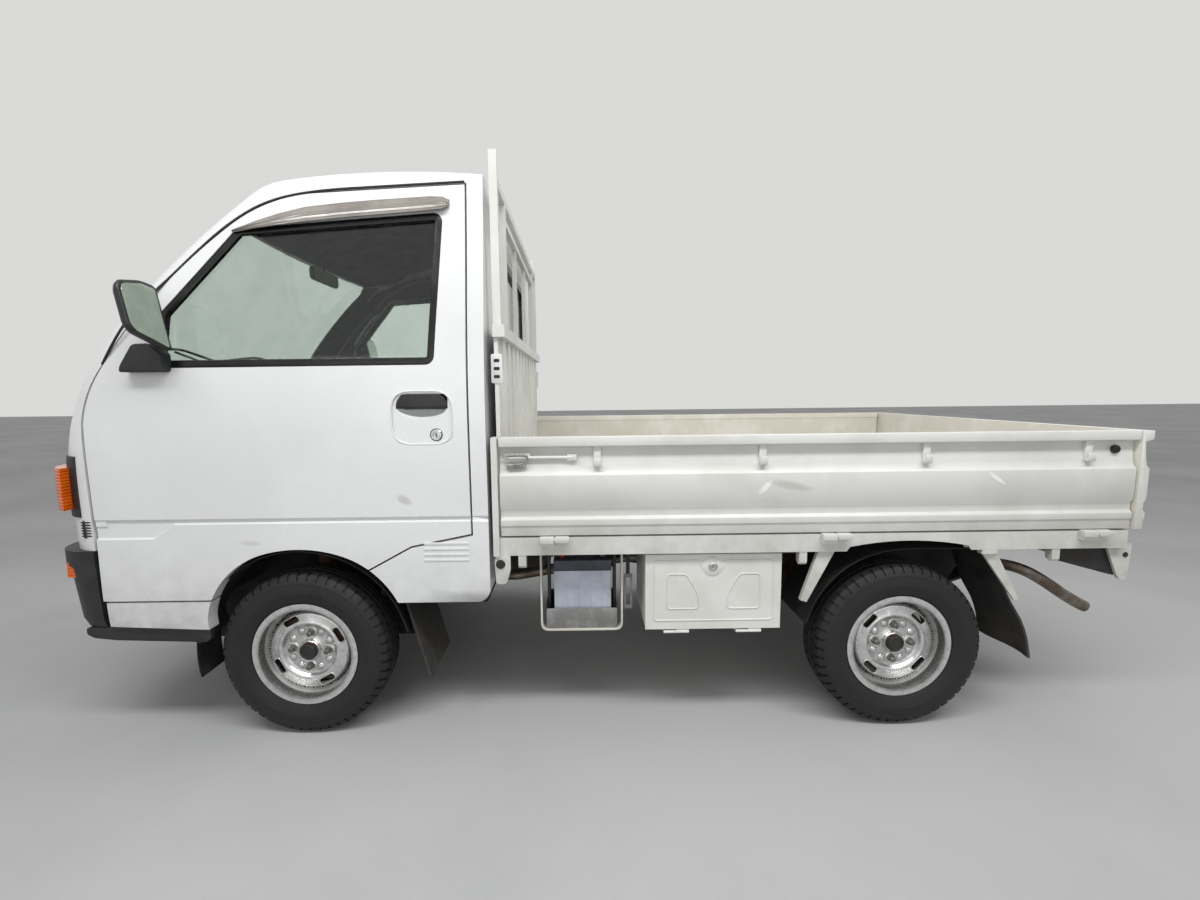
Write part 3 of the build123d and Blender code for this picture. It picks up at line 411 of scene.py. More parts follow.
def rounded(low, high, radius):
    """A rectangle's outline between two corners of it, with its corners rounded."""
    return round_off([low, (high[0], low[1]), high, (low[0], high[1])], radius)


def plate(name, outline, along, at, depth, material, body, soft=0.001, segments=2):
    """A flat piece cut to an outline in metres and drawn out along an axis (0 is X, 1 is Y, 2 is Z)."""
    bpy.ops.object.select_all(action="DESELECT")
    bpy.ops.mesh.primitive_circle_add(vertices=len(outline), radius=0.1, fill_type="NGON")
    made = bpy.context.object
    for vertex, (a, b) in zip(made.data.vertices, outline):
        vertex.co = ((at, a, b), (a, at, b), (a, b, at))[along]
    face_mode()
    bpy.ops.mesh.select_all(action="SELECT")
    move = [0, 0, 0]
    move[along] = depth
    bpy.ops.mesh.extrude_region_move(TRANSFORM_OT_translate={"value": move})
    bpy.ops.mesh.select_all(action="SELECT")
    bpy.ops.mesh.normals_make_consistent(inside=False)
    bpy.ops.object.mode_set(mode="OBJECT")
    if soft:
        bevelled(made, soft, segments)
    return settle(made, name, material, body)


def turned(name, profile, centre, along, material, body, steps=48, angle=35):
    """A piece turned on an axis: profile gives radius and distance along the axis, in metres."""
    along = Vector(along).normalized()
    across = along.orthogonal().normalized()
    bpy.ops.object.select_all(action="DESELECT")
    bpy.ops.mesh.primitive_circle_add(vertices=len(profile), radius=0.1, fill_type="NOTHING")
    made = bpy.context.object
    for vertex, (radius, reach) in zip(made.data.vertices, profile):
        vertex.co = Vector(centre) + across * radius + along * reach
    bpy.context.tool_settings.mesh_select_mode = (True, False, False)
    bpy.ops.object.mode_set(mode="EDIT")
    bpy.ops.mesh.select_all(action="SELECT")
    bpy.ops.mesh.spin(steps=steps, angle=2 * math.pi, center=centre, axis=along)
    bpy.ops.object.mode_set(mode="OBJECT")
    return settle(made, name, material, body, angle)


def rod(name, points, radius, material, body, smooth=False, closed=False):
    """A rod or wire of round section drawn along points, in metres, with closed ends."""
    line = bpy.data.curves.new(name, "CURVE")
    line.dimensions = "3D"
    line.bevel_depth = radius
    line.bevel_resolution = 2
    line.use_fill_caps = True
    spline = line.splines.new("NURBS" if smooth else "POLY")
    spline.points.add(len(points) - 1)
    for knot, point in zip(spline.points, points):
        knot.co = (*point, 1)
    spline.use_cyclic_u = closed
    if smooth:
        spline.order_u = 3
        spline.use_endpoint_u = not closed
        line.resolution_u = 8
    made = bpy.data.objects.new(name, line)
    bpy.context.scene.collection.objects.link(made)
    only(made)
    bpy.ops.object.convert(target="MESH")
    return settle(bpy.context.object, name, material, body)


def skin(x, z, *names):
    """How far out the left side of some skins lies, in Y, at a place in the side view.
    Where a place misses them, the next below it is tried, 6 mm at a time."""
    far = 9.0
    best = far
    while best == far and z > 0.3:
        for name in names:
            hit, spot, _, _ = skins[name].ray_cast((x, -2.0, z), (0, 1, 0))
            if hit:
                best = min(best, spot.y)
        z -= 0.006
    return best


# four pressed louvre ribs behind the door's lower corner
for i in range(4):
    z = 0.6325 - i * 0.0174
    y = skin(-0.45, z, "cab_side_left")
    rib_edge = rounded((-0.522, z - 0.004), (-0.384, z + 0.004), 0.004)
    other_side(plate(f"side_rib_{i}_left", rib_edge, 1, y + 0.001, -0.003, cab_paint, "root"))

# drip rail over the door: a folded steel lip with a black extruded rubber in it
seam_rubber = finish("EPDM rubber, extruded", "#1B1C1D", "#262728", 0.55, patch_mm=40, share=0.3,
                     grain_mm=1.0, relief=0.2)
rail_line = [(-1.452, 1.186), (-1.36, 1.313), (-1.268, 1.424), (-1.17, 1.52), (-1.078, 1.6),
             (-0.97, 1.664), (-0.83, 1.6945), (-0.6, 1.7065), (-0.376, 1.7175)]
points = [(x, skin(x, z + 0.004, "cab_side_left", "cab_roof", "cab_front_panel") - 0.0005, z)
          for x, z in rail_line]
points = [point for point in points if point[1] < 0]
other_side(rod("drip_rubber_left", points, 0.0035, seam_rubber, "root", smooth=True))


# Doors: pressed skins hung on two hinges, with a sunk handle plate on each.
# The paddle is black moulded plastic in a deep pocket, the lock is chromed.
for side, label in both_sides:
    panel(f"door_{label}", cab_paint, lining=liner_felt,
          lined=lambda c, n: n.y * side < -0.25 and abs(c.y) < 0.70)


def cut_out(made, cutter):
    """Cuts one solid's form out of a skin, and takes the cutter away."""
    only(made)
    cut = made.modifiers.new("cut", "BOOLEAN")
    cut.operation = "DIFFERENCE"
    cut.solver = "EXACT"
    cut.object = cutter
    bpy.ops.object.modifier_apply(modifier=cut.name)
    bpy.data.objects.remove(cutter)


# the handle plate is sunk 5.5 mm, with a finger dish 15 mm deep below the paddle
dish_edge = rounded((-0.601, 0.938), (-0.418, 1.097), 0.058)
for side, label in both_sides:
    door = skins[f"door_{label}"]
    cut_out(door, plate("sunk_plate", dish_edge, 1, side * 0.76, -side * 0.0325, cab_paint, "root", soft=0))
    bpy.ops.object.select_all(action="DESELECT")
    bpy.ops.mesh.primitive_uv_sphere_add(segments=48, ring_count=24, radius=1,
                                         location=(-0.510, side * 0.7400, 1.0450))
    dish = bpy.context.object
    dish.scale = (0.0765, 0.040, 0.0350)
    bpy.ops.object.transform_apply(location=True, rotation=False, scale=True)
    dish.data.materials.append(cab_paint)
    cut_out(door, dish)


def sliced(made, planes, **options):
    """Cuts a mesh along planes, each a point and a normal; clear_outer takes away what is past them."""
    only(made)
    bpy.ops.object.mode_set(mode="EDIT")
    for point, normal in planes:
        bpy.ops.mesh.select_all(action="SELECT")
        bpy.ops.mesh.bisect(plane_co=point, plane_no=normal, **options)
    bpy.ops.object.mode_set(mode="OBJECT")


# the crease is a level band sunk into the side, whose foot climbs a wedge at the front
crease_foot_z, crease_top_z, crease_depth = 0.6605, 0.7135, 0.0065
wedge_start_x, wedge_length, wedge_rise = -1.342, 0.064, 0.044


def crease_foot(x):
    """The crease's lower edge: level, but for a wedge at the front."""
    return crease_foot_z + wedge_rise * min(max((x - wedge_start_x) / wedge_length, 0.0), 1.0)


def press_crease(made, side):
    """Cuts the crease's edges into a side panel and sinks its floor."""
    rays = BVHTree.FromObject(made, bpy.context.evaluated_depsgraph_get())
    xs = [vertex.co.x for vertex in made.data.vertices]
    middle = (min(xs) + max(xs)) / 2
    slope = Vector((-wedge_rise, 0, wedge_length)).normalized()
    levels = (0.7175, crease_top_z, 0.7045, 0.7000, crease_foot_z, 0.6560)
    sliced(made, [((0, 0, z), (0, 0, 1)) for z in levels]
           + [((wedge_start_x, 0, z), slope) for z in (crease_foot_z, 0.6560)]
           + [((x, 0, 0), (1, 0, 0)) for x in (wedge_start_x, -1.278)])
    for vertex in made.data.vertices:
        x, y, z = vertex.co
        if not crease_foot(x) - 0.0001 <= z <= crease_top_z + 0.0001:
            continue
        inward = 0.0006 if x < middle else -0.0006
        hit = rays.ray_cast((x + inward, side * 2.0, z), (0, -side, 0))
        if hit[0] and abs(hit[0].y - y) < 0.0015:
            vertex.co.y -= side * crease_depth
    bpy.ops.object.shade_smooth_by_angle(angle=math.radians(fold_angle))


def arc(centre, radii, turns):
    """Points on an ellipse in the side view, at some turns in degrees."""
    return [(centre[0] + radii[0] * math.cos(math.radians(a)),
             centre[1] + radii[1] * math.sin(math.radians(a))) for a in turns]


for side, label in both_sides:
    press_crease(skins[f"door_{label}"], side)
    cab_side = skins[f"cab_side_{label}"]
    press_crease(cab_side, side)
    sill = [vertex.co for vertex in cab_side.data.vertices if vertex.co.x > -0.5 and vertex.co.z < 0.6]
    end, foot = max(c.x for c in sill), min(c.z for c in sill)
    rounding = [(end + 0.02, foot - 0.02), (end + 0.02, foot + 0.05), (end + 0.001, foot + 0.05)]
    rounding += arc((end - 0.042, foot + 0.042), (0.043, 0.043), range(0, -91, -9))
    rounding.append((end - 0.042, foot - 0.02))
    cut_out(cab_side, plate("corner_cutter", rounding, 1, side * 0.80, -side * 0.16, cab_paint, "root",
                            soft=0))

# moulded ABS: near black and glossy, with soft reflections
black_abs = finish("ABS, moulded, gloss black", "#141516", "#1E1F20", 0.28, patch_mm=30, grain_mm=2,
                   relief=0.05)
# plated zinc: a bright mirror, a little cloudy
chrome = finish("chromed zinc, die cast", "#D4D6D8", "#B9BBBD", 0.14, 1.0, patch_mm=12, grain_mm=1,
                relief=0.05)
pocket_edge = rounded((-0.5765, 1.042), (-0.4335, 1.0875), 0.0165)
other_side(plate("handle_pocket_left", pocket_edge, 1, -0.706, 0.0015, black_abs, "door_left", soft=0))
paddle_edge = [(-0.587, 1.0445), (-0.433, 1.0445)] + arc((-0.469, 1.0530), (0.036, 0.0355), range(0, 91, 10))
paddle_edge += arc((-0.551, 1.0530), (0.036, 0.0355), range(90, 181, 10))
other_side(plate("handle_paddle_left", paddle_edge, 1, -0.7300, 0.006, black_abs, "door_left", soft=0.0022,
                 segments=3))
other_side(rod("handle_lip_left", [(x, -0.7322, z) for x, z in dish_edge], 0.0022, cab_paint, "door_left",
               closed=True))
lock_place = (-0.470, -0.7275, 0.966)
ring_section = [(0, -0.002), (0.0190, -0.002), (0.0190, 0.0008), (0, 0.0008)]
lock_section = [(0, -0.002), (0.0165, -0.002), (0.0165, 0.0018), (0.0145, 0.0034), (0.0095, 0.0034),
                (0.0088, 0.0016), (0, 0.0016)]
other_side(turned("door_lock_ring_left", ring_section, lock_place, (0, -1, 0), black_abs, "door_left",
                  steps=40))
other_side(turned("door_lock_left", lock_section, lock_place, (0, -1, 0), chrome, "door_left", steps=40))
# the key slot is a thin black bar on the lock's face: painted shade of the keyway
other_side(bar("door_lock_slot_left", (-0.4716, -0.7298, 0.9605), (-0.4684, -0.7285, 0.9715), black_abs,
               "door_left", soft=0.0003))


# Window rubbers: black extruded sections that hold each sheet of glass.
# Each lies round its glass's own edge, on the outside.
def surround(name, glass_name, facing, width, rise, material):
    """A rubber of one width that follows a sheet of glass round its edge."""
    cad = frame["nodes"][glass_name]
    facing = Vector(facing)
    made = welded_copy(name, cad)
    drop_faces(made, lambda c, n: n.dot(facing) < 0.35)
    bpy.ops.object.mode_set(mode="EDIT")
    bpy.ops.mesh.select_all(action="SELECT")
    bpy.ops.mesh.inset(thickness=width, use_boundary=True, use_even_offset=True)
    bpy.ops.mesh.delete(type="FACE")
    bpy.ops.object.mode_set(mode="OBJECT")
    thicken(made, rise)
    bevelled(made, 0.002, 2, 50)
    return settle(made, name, material, cad["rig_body"])


def drop_faces(made, test):
    """Takes away the faces whose middle and normal pass a test."""
    choose(made, test)
    bpy.ops.mesh.delete(type="FACE")
    bpy.ops.object.mode_set(mode="OBJECT")


def thicken(made, thickness, offset=1):
    """Makes a sheet solid: outward at an offset of 1, inward at -1, both ways at 0."""
    only(made)
    wall = made.modifiers.new("thickness", "SOLIDIFY")
    wall.thickness = thickness
    wall.offset = offset
    bpy.ops.object.modifier_apply(modifier=wall.name)


# extruded EPDM: black, with the soft gloss of cleaned rubber
window_rubber = finish("EPDM rubber, glossy extruded", "#08090A", "#101112", 0.25, patch_mm=60, share=0.3,
                       grain_mm=1.2, relief=0.1)
for name, glass_name, facing, width, rise in (
    ("door_window_rubber_left", "door_glass_left", (0, -1, 0), 0.022, 0.013),
    ("door_window_rubber_right", "door_glass_right", (0, 1, 0), 0.022, 0.013),
    ("windscreen_rubber", "windscreen", (-0.8, 0, 0.6), 0.030, 0.0055),
    ("rear_window_rubber", "rear_window", (1, 0, 0), 0.030, 0.014),
):
    surround(name, glass_name, facing, width, rise, window_rubber)

# Glass: tempered sheets, bent to the cab, pressed into their rubbers from outside.
# They have a faint green tint and a smooth, nearly clean surface.
glass = finish("tempered glass, faint green", "#ECF4F0", "#E6EFEA", 0.02, patch_mm=300, grain_mm=40,
               relief=0.01, Transmission_Weight=1.0, IOR=1.45)
for name in ("door_glass_left", "door_glass_right", "windscreen", "rear_window"):
    panel(name, glass)

# Rain visors: smoked acrylic, vacuum formed with ribs lengthwise, clipped into the
# top of each door's window channel. Thin, brownish and glossy.
smoked = finish("smoked acrylic, vacuum formed", "#8A857E", "#7C766F", 0.1, patch_mm=120, grain_mm=4,
                relief=0.03, Coat_Weight=0.6)
visor_top = [(-1.068, 1.5765), (-1.000, 1.604), (-0.930, 1.626), (-0.851, 1.645), (-0.740, 1.657),
             (-0.632, 1.665), (-0.478, 1.674), (-0.440, 1.672), (-0.421, 1.662)]
visor_foot = [(-1.066, 1.5735), (-1.001, 1.5800), (-0.930, 1.5890), (-0.850, 1.5985), (-0.726, 1.6100),
              (-0.640, 1.6165), (-0.500, 1.6270), (-0.440, 1.6330), (-0.421, 1.6440)]


def along_line(line, share):
    """A point at a share of a line's stations, eased between them."""
    place = share * (len(line) - 1)
    i = min(int(place), len(line) - 2)
    return Vector(line[i]).lerp(Vector(line[i + 1]), place - i)


lean = (skin(-0.392, 1.60, "door_left") - skin(-0.392, 1.35, "door_left")) / 0.25
bpy.ops.object.select_all(action="DESELECT")
bpy.ops.mesh.primitive_grid_add(x_subdivisions=64, y_subdivisions=12, size=1)
visor = bpy.context.object
for vertex in visor.data.vertices:
    u, v = vertex.co.x + 0.5, vertex.co.y + 0.5
    spot = along_line(visor_foot, u).lerp(along_line(visor_top, u), v)
    rib = 0.0011 * math.cos(v * 10 * math.pi)
    bow = 0.0125 * (1 - v ** 2.2) * min(1.0, 7 * u, 10 * (1.02 - u))
    edge = along_line(visor_top, u)
    out = skin(edge.x, edge.y + 0.012, "door_left", "cab_side_left", "cab_roof") + lean * (spot.y - edge.y)
    vertex.co = (spot.x, out - 0.0035 - bow - rib, spot.y)
thicken(visor, 0.0022, -1)
settle(visor, "visor_sheet_left", smoked, "door_left")
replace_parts(visor, "rain_visor_left")
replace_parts(other_side(visor), "rain_visor_right")

# Door mirrors: a black moulded shell on a foot screwed to the door's corner, with
# silvered glass facing back. Grained polypropylene is dark grey and dull; the glass is
# half metallic, with a painted reflection of the pale room in its green-grey colour.
black_plastic = finish("polypropylene, grained black", "#1E1F21", "#2A2B2D", 0.5, patch_mm=90, grain_mm=1.6,
                       relief=0.5)
silvered = finish("silvered glass, flat, hazed", "#C6D3C4", "#BCCABB", 0.06, 0.4, patch_mm=50, grain_mm=30,
                  relief=0.01)
shell_edge = [(-0.750, 1.216), (-0.748, 1.402), (-0.800, 1.409), (-0.870, 1.397), (-0.885, 1.378),
              (-0.885, 1.278), (-0.868, 1.256), (-0.810, 1.236)]


def lean_back(made):
    """The mirror stands a little rearward, more so at its foot."""
    for vertex in made.data.vertices:
        vertex.co.x += 0.020 + 0.016 * (1.31 - vertex.co.z) / 0.09


shell = plate("mirror_shell_left", round_off(shell_edge, 0.016), 0, -1.306, 0.0555, black_plastic,
              "door_left", soft=0.004, segments=3)
sliced(shell, [((x, 0, 0), (1, 0, 0)) for x in (-1.302, -1.297, -1.290, -1.281, -1.270, -1.260)])
# the shell narrows forward, over 43 mm from its front face
for vertex in shell.data.vertices:
    full = min(max((vertex.co.x + 1.306) / 0.043, 0.0), 1.0) ** 0.5
    vertex.co.y = -0.750 + (vertex.co.y + 0.750) * (0.45 + 0.55 * full)
    vertex.co.z = 1.300 + (vertex.co.z - 1.300) * (0.62 + 0.38 * full)
lean_back(shell)
bpy.ops.object.shade_smooth_by_angle(angle=math.radians(50))
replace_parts(shell, "door_mirror_left")
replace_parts(other_side(shell), "door_mirror_right")
foot_edge = [(-1.370, 1.160), (-1.245, 1.160), (-1.245, 1.214), (-1.280, 1.242), (-1.326, 1.240),
             (-1.368, 1.176)]
other_side(plate("mirror_foot_left", round_off(foot_edge, 0.010), 1, -0.762, 0.044, black_plastic,
                 "door_left", soft=0.007, segments=3))
mirror_edge = [(-0.759, 1.227), (-0.757, 1.393), (-0.801, 1.400), (-0.866, 1.389), (-0.876, 1.374),
               (-0.876, 1.283), (-0.862, 1.265), (-0.808, 1.246)]
sheet = plate("mirror_glass_left", round_off(mirror_edge, 0.008), 0, -1.2515, 0.0018, silvered, "door_left",
              soft=0.0003, segments=1)
lean_back(sheet)
other_side(sheet)


# Bumper: one grained black moulding wrapped round the front corners, with a
# skirt below. An orange side marker sits in each corner.
panel("front_bumper", black_plastic, angle=30)
# moulded acrylic: clear orange with a shine, ribbed across every 9.5 mm
orange_clear = finish("acrylic lens, orange", "#F06A12", "#E25C0C", 0.12, patch_mm=30, grain_mm=4, relief=0.1,
                      Transmission_Weight=0.15)


def ribbed(material, along, spacing_mm, strength, depth):
    """Gives a moulding ribs that repeat along an axis."""
    spot = node(material.node_tree, "ShaderNodeTexCoord")
    wave = node(material.node_tree, "ShaderNodeTexWave",
                {"Vector": spot.outputs["Object"], "Scale": 100 * math.pi / spacing_mm, "Distortion": 0.0},
                bands_direction=along)
    raise_relief(material, wave.outputs["Fac"], strength, depth)


ribbed(orange_clear, "Z", 9.52, 0.7, 0.002)
skirt_outline = [(-1.592, 0.371), (-1.530, 0.371), (-1.504, 0.3785), (-1.206, 0.3645), (-1.206, 0.330),
                 (-1.223, 0.319), (-1.500, 0.329), (-1.569, 0.337), (-1.592, 0.350)]
other_side(plate("bumper_skirt_left", round_off(skirt_outline, 0.006), 1, -0.719, 0.022, black_plastic,
                 "root", soft=0.003))
plate("bumper_front_lip", rounded((-0.60, 0.352), (0.60, 0.376), 0.008), 0, -1.634, 0.022, black_plastic,
      "root", soft=0.004)
# intake slots: black lips that follow the bumper's rounded face
for i, z in enumerate((0.425, 0.459, 0.493)):
    for side, label in both_sides:
        plate(f"bumper_slot_{i}_{label}", rounded((side * 0.015, z), (side * 0.305, z + 0.019), 0.006), 0,
              -1.6835 + 0.03 * abs(z - 0.49), 0.012, black_abs, "root", soft=0.0012)
y = skin(-1.611, 0.56, "front_bumper")
marker_edge = round_off([(-1.628, 0.536), (-1.598, 0.534), (-1.602, 0.584), (-1.624, 0.586)], 0.006)
other_side(plate("side_marker_left", marker_edge, 1, y + 0.02, -0.024, orange_clear, "root", soft=0.002))

# Lamps: clear headlamp lenses over a bright bowl, and corner lamps whose orange
# lens is held in a black moulded frame.
panel("front_turn_lamps", orange_clear, angle=25)


def raised_patch(name, skin_name, cuts, keep, rise, material):
    """A moulding over part of a skin: its faces inside some cuts, thickened outward."""
    made = bpy.data.objects.new(name, skins[skin_name].data.copy())
    bpy.context.scene.collection.objects.link(made)
    made.data.materials.clear()
    sliced(made, cuts, clear_outer=True)
    drop_faces(made, lambda c, n: not keep(c, n))
    thicken(made, rise)
    bevelled(made, 0.0015, 2, 50)
    return settle(made, name, material, "root")


frame_cuts = [((-1.558, 0, 0), (1, 0, 0)), ((0, 0, 0.726), (0, 0, -1)), ((0, 0, 0.912), (0, 0, 1)),
              ((0, -0.599, 0), (0, 1, 0))]
other_side(raised_patch("turn_lamp_frame_left", "cab_front_panel", frame_cuts,
                        lambda c, n: n.x < -0.2 or n.y < -0.5, 0.004, black_plastic))

# pressed glass is clear, with upright flutes 12 mm wide; coated aluminium is mirror bright
lens_clear = finish("glass lens, pressed flutes", "#EEF2F3", "#E4E9EA", 0.04, patch_mm=80, grain_mm=20,
                    relief=0.05, Transmission_Weight=0.9, IOR=1.45)
ribbed(lens_clear, "Y", 12.083, 0.5, 0.003)
mirror_bowl = finish("aluminium, vacuum coated", "#D9DBDD", "#C8CACC", 0.12, 1.0, patch_mm=25, grain_mm=3,
                     relief=0.1)


def lens_cover(name, cad_name, facing, thickness, material):
    """A thin cover made from the outer faces of a solid lamp."""
    cad = frame["nodes"][cad_name]
    facing = Vector(facing)
    made = welded_copy(name, cad)
    drop_faces(made, lambda c, n: n.dot(facing) < 0.3)
    thicken(made, thickness, -1)
    settle(made, name, material, cad["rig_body"])
    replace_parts(made, cad_name)


lens_cover("headlamp_lenses", "headlamps", (-1, 0, 0), 0.003, lens_clear)
bowl_section = [(0.012, 0), (0.030, 0.010), (0.046, 0.022), (0.060, 0.036), (0.0625, 0.036), (0.048, 0.020),
                (0.030, 0.006), (0.012, -0.004)]
bulb_section = [(0, 0.040), (0.006, 0.038), (0.0085, 0.031), (0.0085, 0.012), (0.013, 0.008),
                (0.013, -0.004), (0, -0.004)]
for side, label in both_sides:
    y = side * 0.495
    bar(f"headlamp_housing_{label}", (-1.618, y - 0.102, 0.743), (-1.606, y + 0.102, 0.883), black_plastic,
        "root")
    focus = (-1.620, y, 0.813)
    turned(f"headlamp_bowl_{label}", bowl_section, focus, (-1, 0, 0), mirror_bowl, "root", steps=40)
    turned(f"headlamp_bulb_{label}", bulb_section, focus, (-1, 0, 0), lens_clear, "root", steps=24)

# Side vents: slits behind each front corner, in a black moulded insert that is
# clipped into the panel, with six slats across it.
y = skin(-1.543, 0.70, "cab_front_panel")
vent_edge = rounded((-1.557, 0.661), (-1.529, 0.716), 0.004)
other_side(plate("corner_vent_left", vent_edge, 1, y + 0.0045, -0.0032, black_plastic, "root", soft=0.0004))
for i in range(6):
    z = 0.666 + i * 0.0084
    other_side(bar(f"corner_vent_slat_{i}_left", (-1.559, y - 0.0022, z), (-1.527, y + 0.003, z + 0.0046),
                   black_plastic, "root", soft=0.001))

# Wipers: pressed steel arms on two pivots under the windscreen, with rubber
# blades, parked low. Their powder coat is a dull, slightly rough black.
wiper_black = finish("zinc-plated steel, black powder coat", "#18191A", "#232425", 0.45, patch_mm=30,
                     grain_mm=1.5, relief=0.3)


def on_screen(y, z, out=0.0):
    """A point on the windscreen's outer side, out metres in front of it."""
    _, spot, normal, _ = skins["windscreen"].ray_cast((-2.0, y, z), (1, 0, 0))
    return spot + normal * out


for i, (foot, tip) in enumerate(((-0.05, -0.52), (0.44, -0.02))):
    base = on_screen(foot, 1.205, 0.016)
    end = on_screen((foot + tip) / 2, 1.245, 0.018)
    turned(f"wiper_pivot_{i}", [(0, -0.022), (0.014, -0.022), (0.014, 0.004), (0.010, 0.009), (0, 0.009)],
           base, (-0.8, 0, 0.6), wiper_black, "root", steps=24)
    rod(f"wiper_arm_{i}", [base, base + Vector((-0.004, 0.0, 0.006)), end], 0.0045, wiper_black, "root")
    blade_points = [on_screen(tip + (foot - 0.02 - tip) * t, 1.232 + 0.03 * (1 - abs(2 * t - 1)), 0.009)
                    for t in (0, 0.25, 0.5, 0.75, 1)]
    rod(f"wiper_blade_{i}", blade_points, 0.005, wiper_black, "root", smooth=True)


# Cab inside: moulded grey dashboard with vents and an instrument hood, column and
# wheel in grained polyurethane, a rear-view mirror, a grab handle, a PVC floor.
# The mouldings are dark grey and matt with a fine grain, the floor duller still.
grey_plastic = finish("ABS, moulded, grained dark grey", "#45474A", "#3D3F41", 0.55, patch_mm=150,
                      grain_mm=1.4, relief=0.5)
panel("dashboard", grey_plastic)
panel("steering_column", grey_plastic)
wheel_skin = finish("polyurethane, grained", "#2C2D2F", "#333436", 0.48, patch_mm=80, grain_mm=1.2,
                    relief=0.5)
panel("steering_wheel", wheel_skin, angle=40)
floor_vinyl = finish("PVC floor covering, grained", "#2A2B2B", "#3A3835", 0.75, patch_mm=120, grain_mm=2.5,
                    relief=0.6)
underseal = finish("underseal over primer, sprayed", "#2B2A29", "#3B3834", 0.85, patch_mm=110, grain_mm=3.5,
                   relief=0.8)
panel("cab_floor", underseal, lining=floor_vinyl, lined=lambda c, n: n.z > 0.5 or (n.x < -0.5 and c.z < 0.66))
hood_side = [(-1.405, 1.143), (-1.282, 1.150), (-1.270, 1.186), (-1.300, 1.196), (-1.392, 1.170)]
plate("instrument_hood", round_off(hood_side, 0.012), 1, 0.205, 0.25, grey_plastic, "root", soft=0.008,
      segments=3)
plate("instrument_face", [(-1.2806, 1.152), (-1.2786, 1.152), (-1.2696, 1.181), (-1.2716, 1.181)], 1, 0.222,
      0.216, black_abs, "root", soft=0.0003)
for i, y in enumerate((-0.60, -0.075, 0.045, 0.49)):
    for k in range(4):
        a = 0.26 + 0.17 * k
        x, z = -1.270 - 0.060 * a, 1.090 - 0.190 * a
        vane = [(x - 0.004, z - 0.004), (x + 0.004, z - 0.006), (x + 0.003, z + 0.003),
                (x - 0.003, z + 0.005)]
        plate(f"dash_vent_{i}_{k}", vane, 1, y, 0.10, black_abs, "root", soft=0.0008)
plate("glove_lid", [(-1.291, 1.020), (-1.288, 1.019), (-1.316, 0.928), (-1.320, 0.929)], 1, -0.46, 0.34,
      wheel_skin, "root", soft=0.001)
plate("room_mirror_shell", rounded((-0.115, 1.552), (0.115, 1.606), 0.02), 0, -1.118, 0.018, black_abs,
      "root", soft=0.006, segments=3)
# the room mirror's glass carries the same painted reflection in its colour
plate("room_mirror_glass", rounded((-0.108, 1.558), (0.108, 1.600), 0.016), 0, -1.1005, 0.001, silvered,
      "root", soft=0)
rod("room_mirror_stem", [(-1.110, 0, 1.594), (-1.118, 0, 1.618), (-1.104, 0, 1.640)], 0.007, black_abs,
    "root", smooth=True)
pale_grip = finish("polyvinyl, moulded pale grey", "#9EA09F", "#929493", 0.5, patch_mm=60, grain_mm=1.5,
                   relief=0.3)
grip_line = [(-1.243, 0.612, 1.352), (-1.236, 0.586, 1.352), (-1.205, 0.572, 1.392), (-1.150, 0.562, 1.455),
             (-1.118, 0.560, 1.490), (-1.112, 0.584, 1.506)]
rod("grab_handle_right", grip_line, 0.009, pale_grip, "root", smooth=True)

# Seats: foam pads in grained vinyl, one bench place each side, on steel runners.
# The pads are blown up a little by simulation, then piped along their edges.
# Grained vinyl is mid grey with a soft sheen, the piping black and smoother.
seat_vinyl = finish("PVC leathercloth, grained grey", "#54575B", "#4A4D50", 0.52, patch_mm=140, grain_mm=1.5,
                    relief=0.5)
piping = finish("PVC piping, black", "#1F2022", "#2A2B2D", 0.45, patch_mm=20, grain_mm=1, relief=0.2)
# how far each seat's middle stands from the truck's, in metres, and how tight its pads are
seat_y, seat_fill = 0.33, 0.7


def pad(name, outline, width):
    """A foam pad: its side outline drawn to its width, remeshed, blown up softly and smoothed."""
    made = plate(name, round_off(outline, 0.03, 6), 1, -seat_y - width / 2, width, seat_vinyl, "root",
                 soft=0.018, segments=4)
    only(made)
    even = made.modifiers.new("even mesh", "REMESH")
    even.mode = "VOXEL"
    even.voxel_size = 0.010
    even.use_smooth_shade = True
    bpy.ops.object.modifier_apply(modifier=even.name)
    blow_up(made, 20, 0.012)
    fine = made.modifiers.new("smooth", "SUBSURF")
    fine.levels = fine.render_levels = 1
    bpy.ops.object.modifier_apply(modifier=fine.name)
    bpy.ops.object.shade_smooth()
    return made


def blow_up(made, moments, most):
    """Swells a pad as cloth under pressure; no point moves by more than most, in metres."""
    before = [v.co.copy() for v in made.data.vertices]
    cloth = made.modifiers.new("blown up", "CLOTH")
    cloth.settings.use_pressure = True
    cloth.settings.uniform_pressure_force = 4.0
    cloth.settings.effector_weights.gravity = 0.0
    cloth.settings.quality = 4
    cloth.point_cache.frame_start = 1
    cloth.point_cache.frame_end = moments
    for moment in range(1, moments + 1):
        bpy.context.scene.frame_set(moment)
    blown = made.evaluated_get(bpy.context.evaluated_depsgraph_get())
    after = [v.co.copy() for v in blown.data.vertices]
    made.modifiers.remove(cloth)
    for vertex, old, new in zip(made.data.vertices, before, after):
        step = new - old
        vertex.co = old + step.normalized() * min(step.length, most)
    bpy.context.scene.frame_set(1)


def pad_twin(made, name, shift):
    """The same pad at the other seat, with its own mesh."""
    twin = bpy.data.objects.new(name, made.data.copy())
    bpy.context.scene.collection.objects.link(twin)
    twin.data.transform(Matrix.Translation((0, shift, 0)))
    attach(twin, "root")


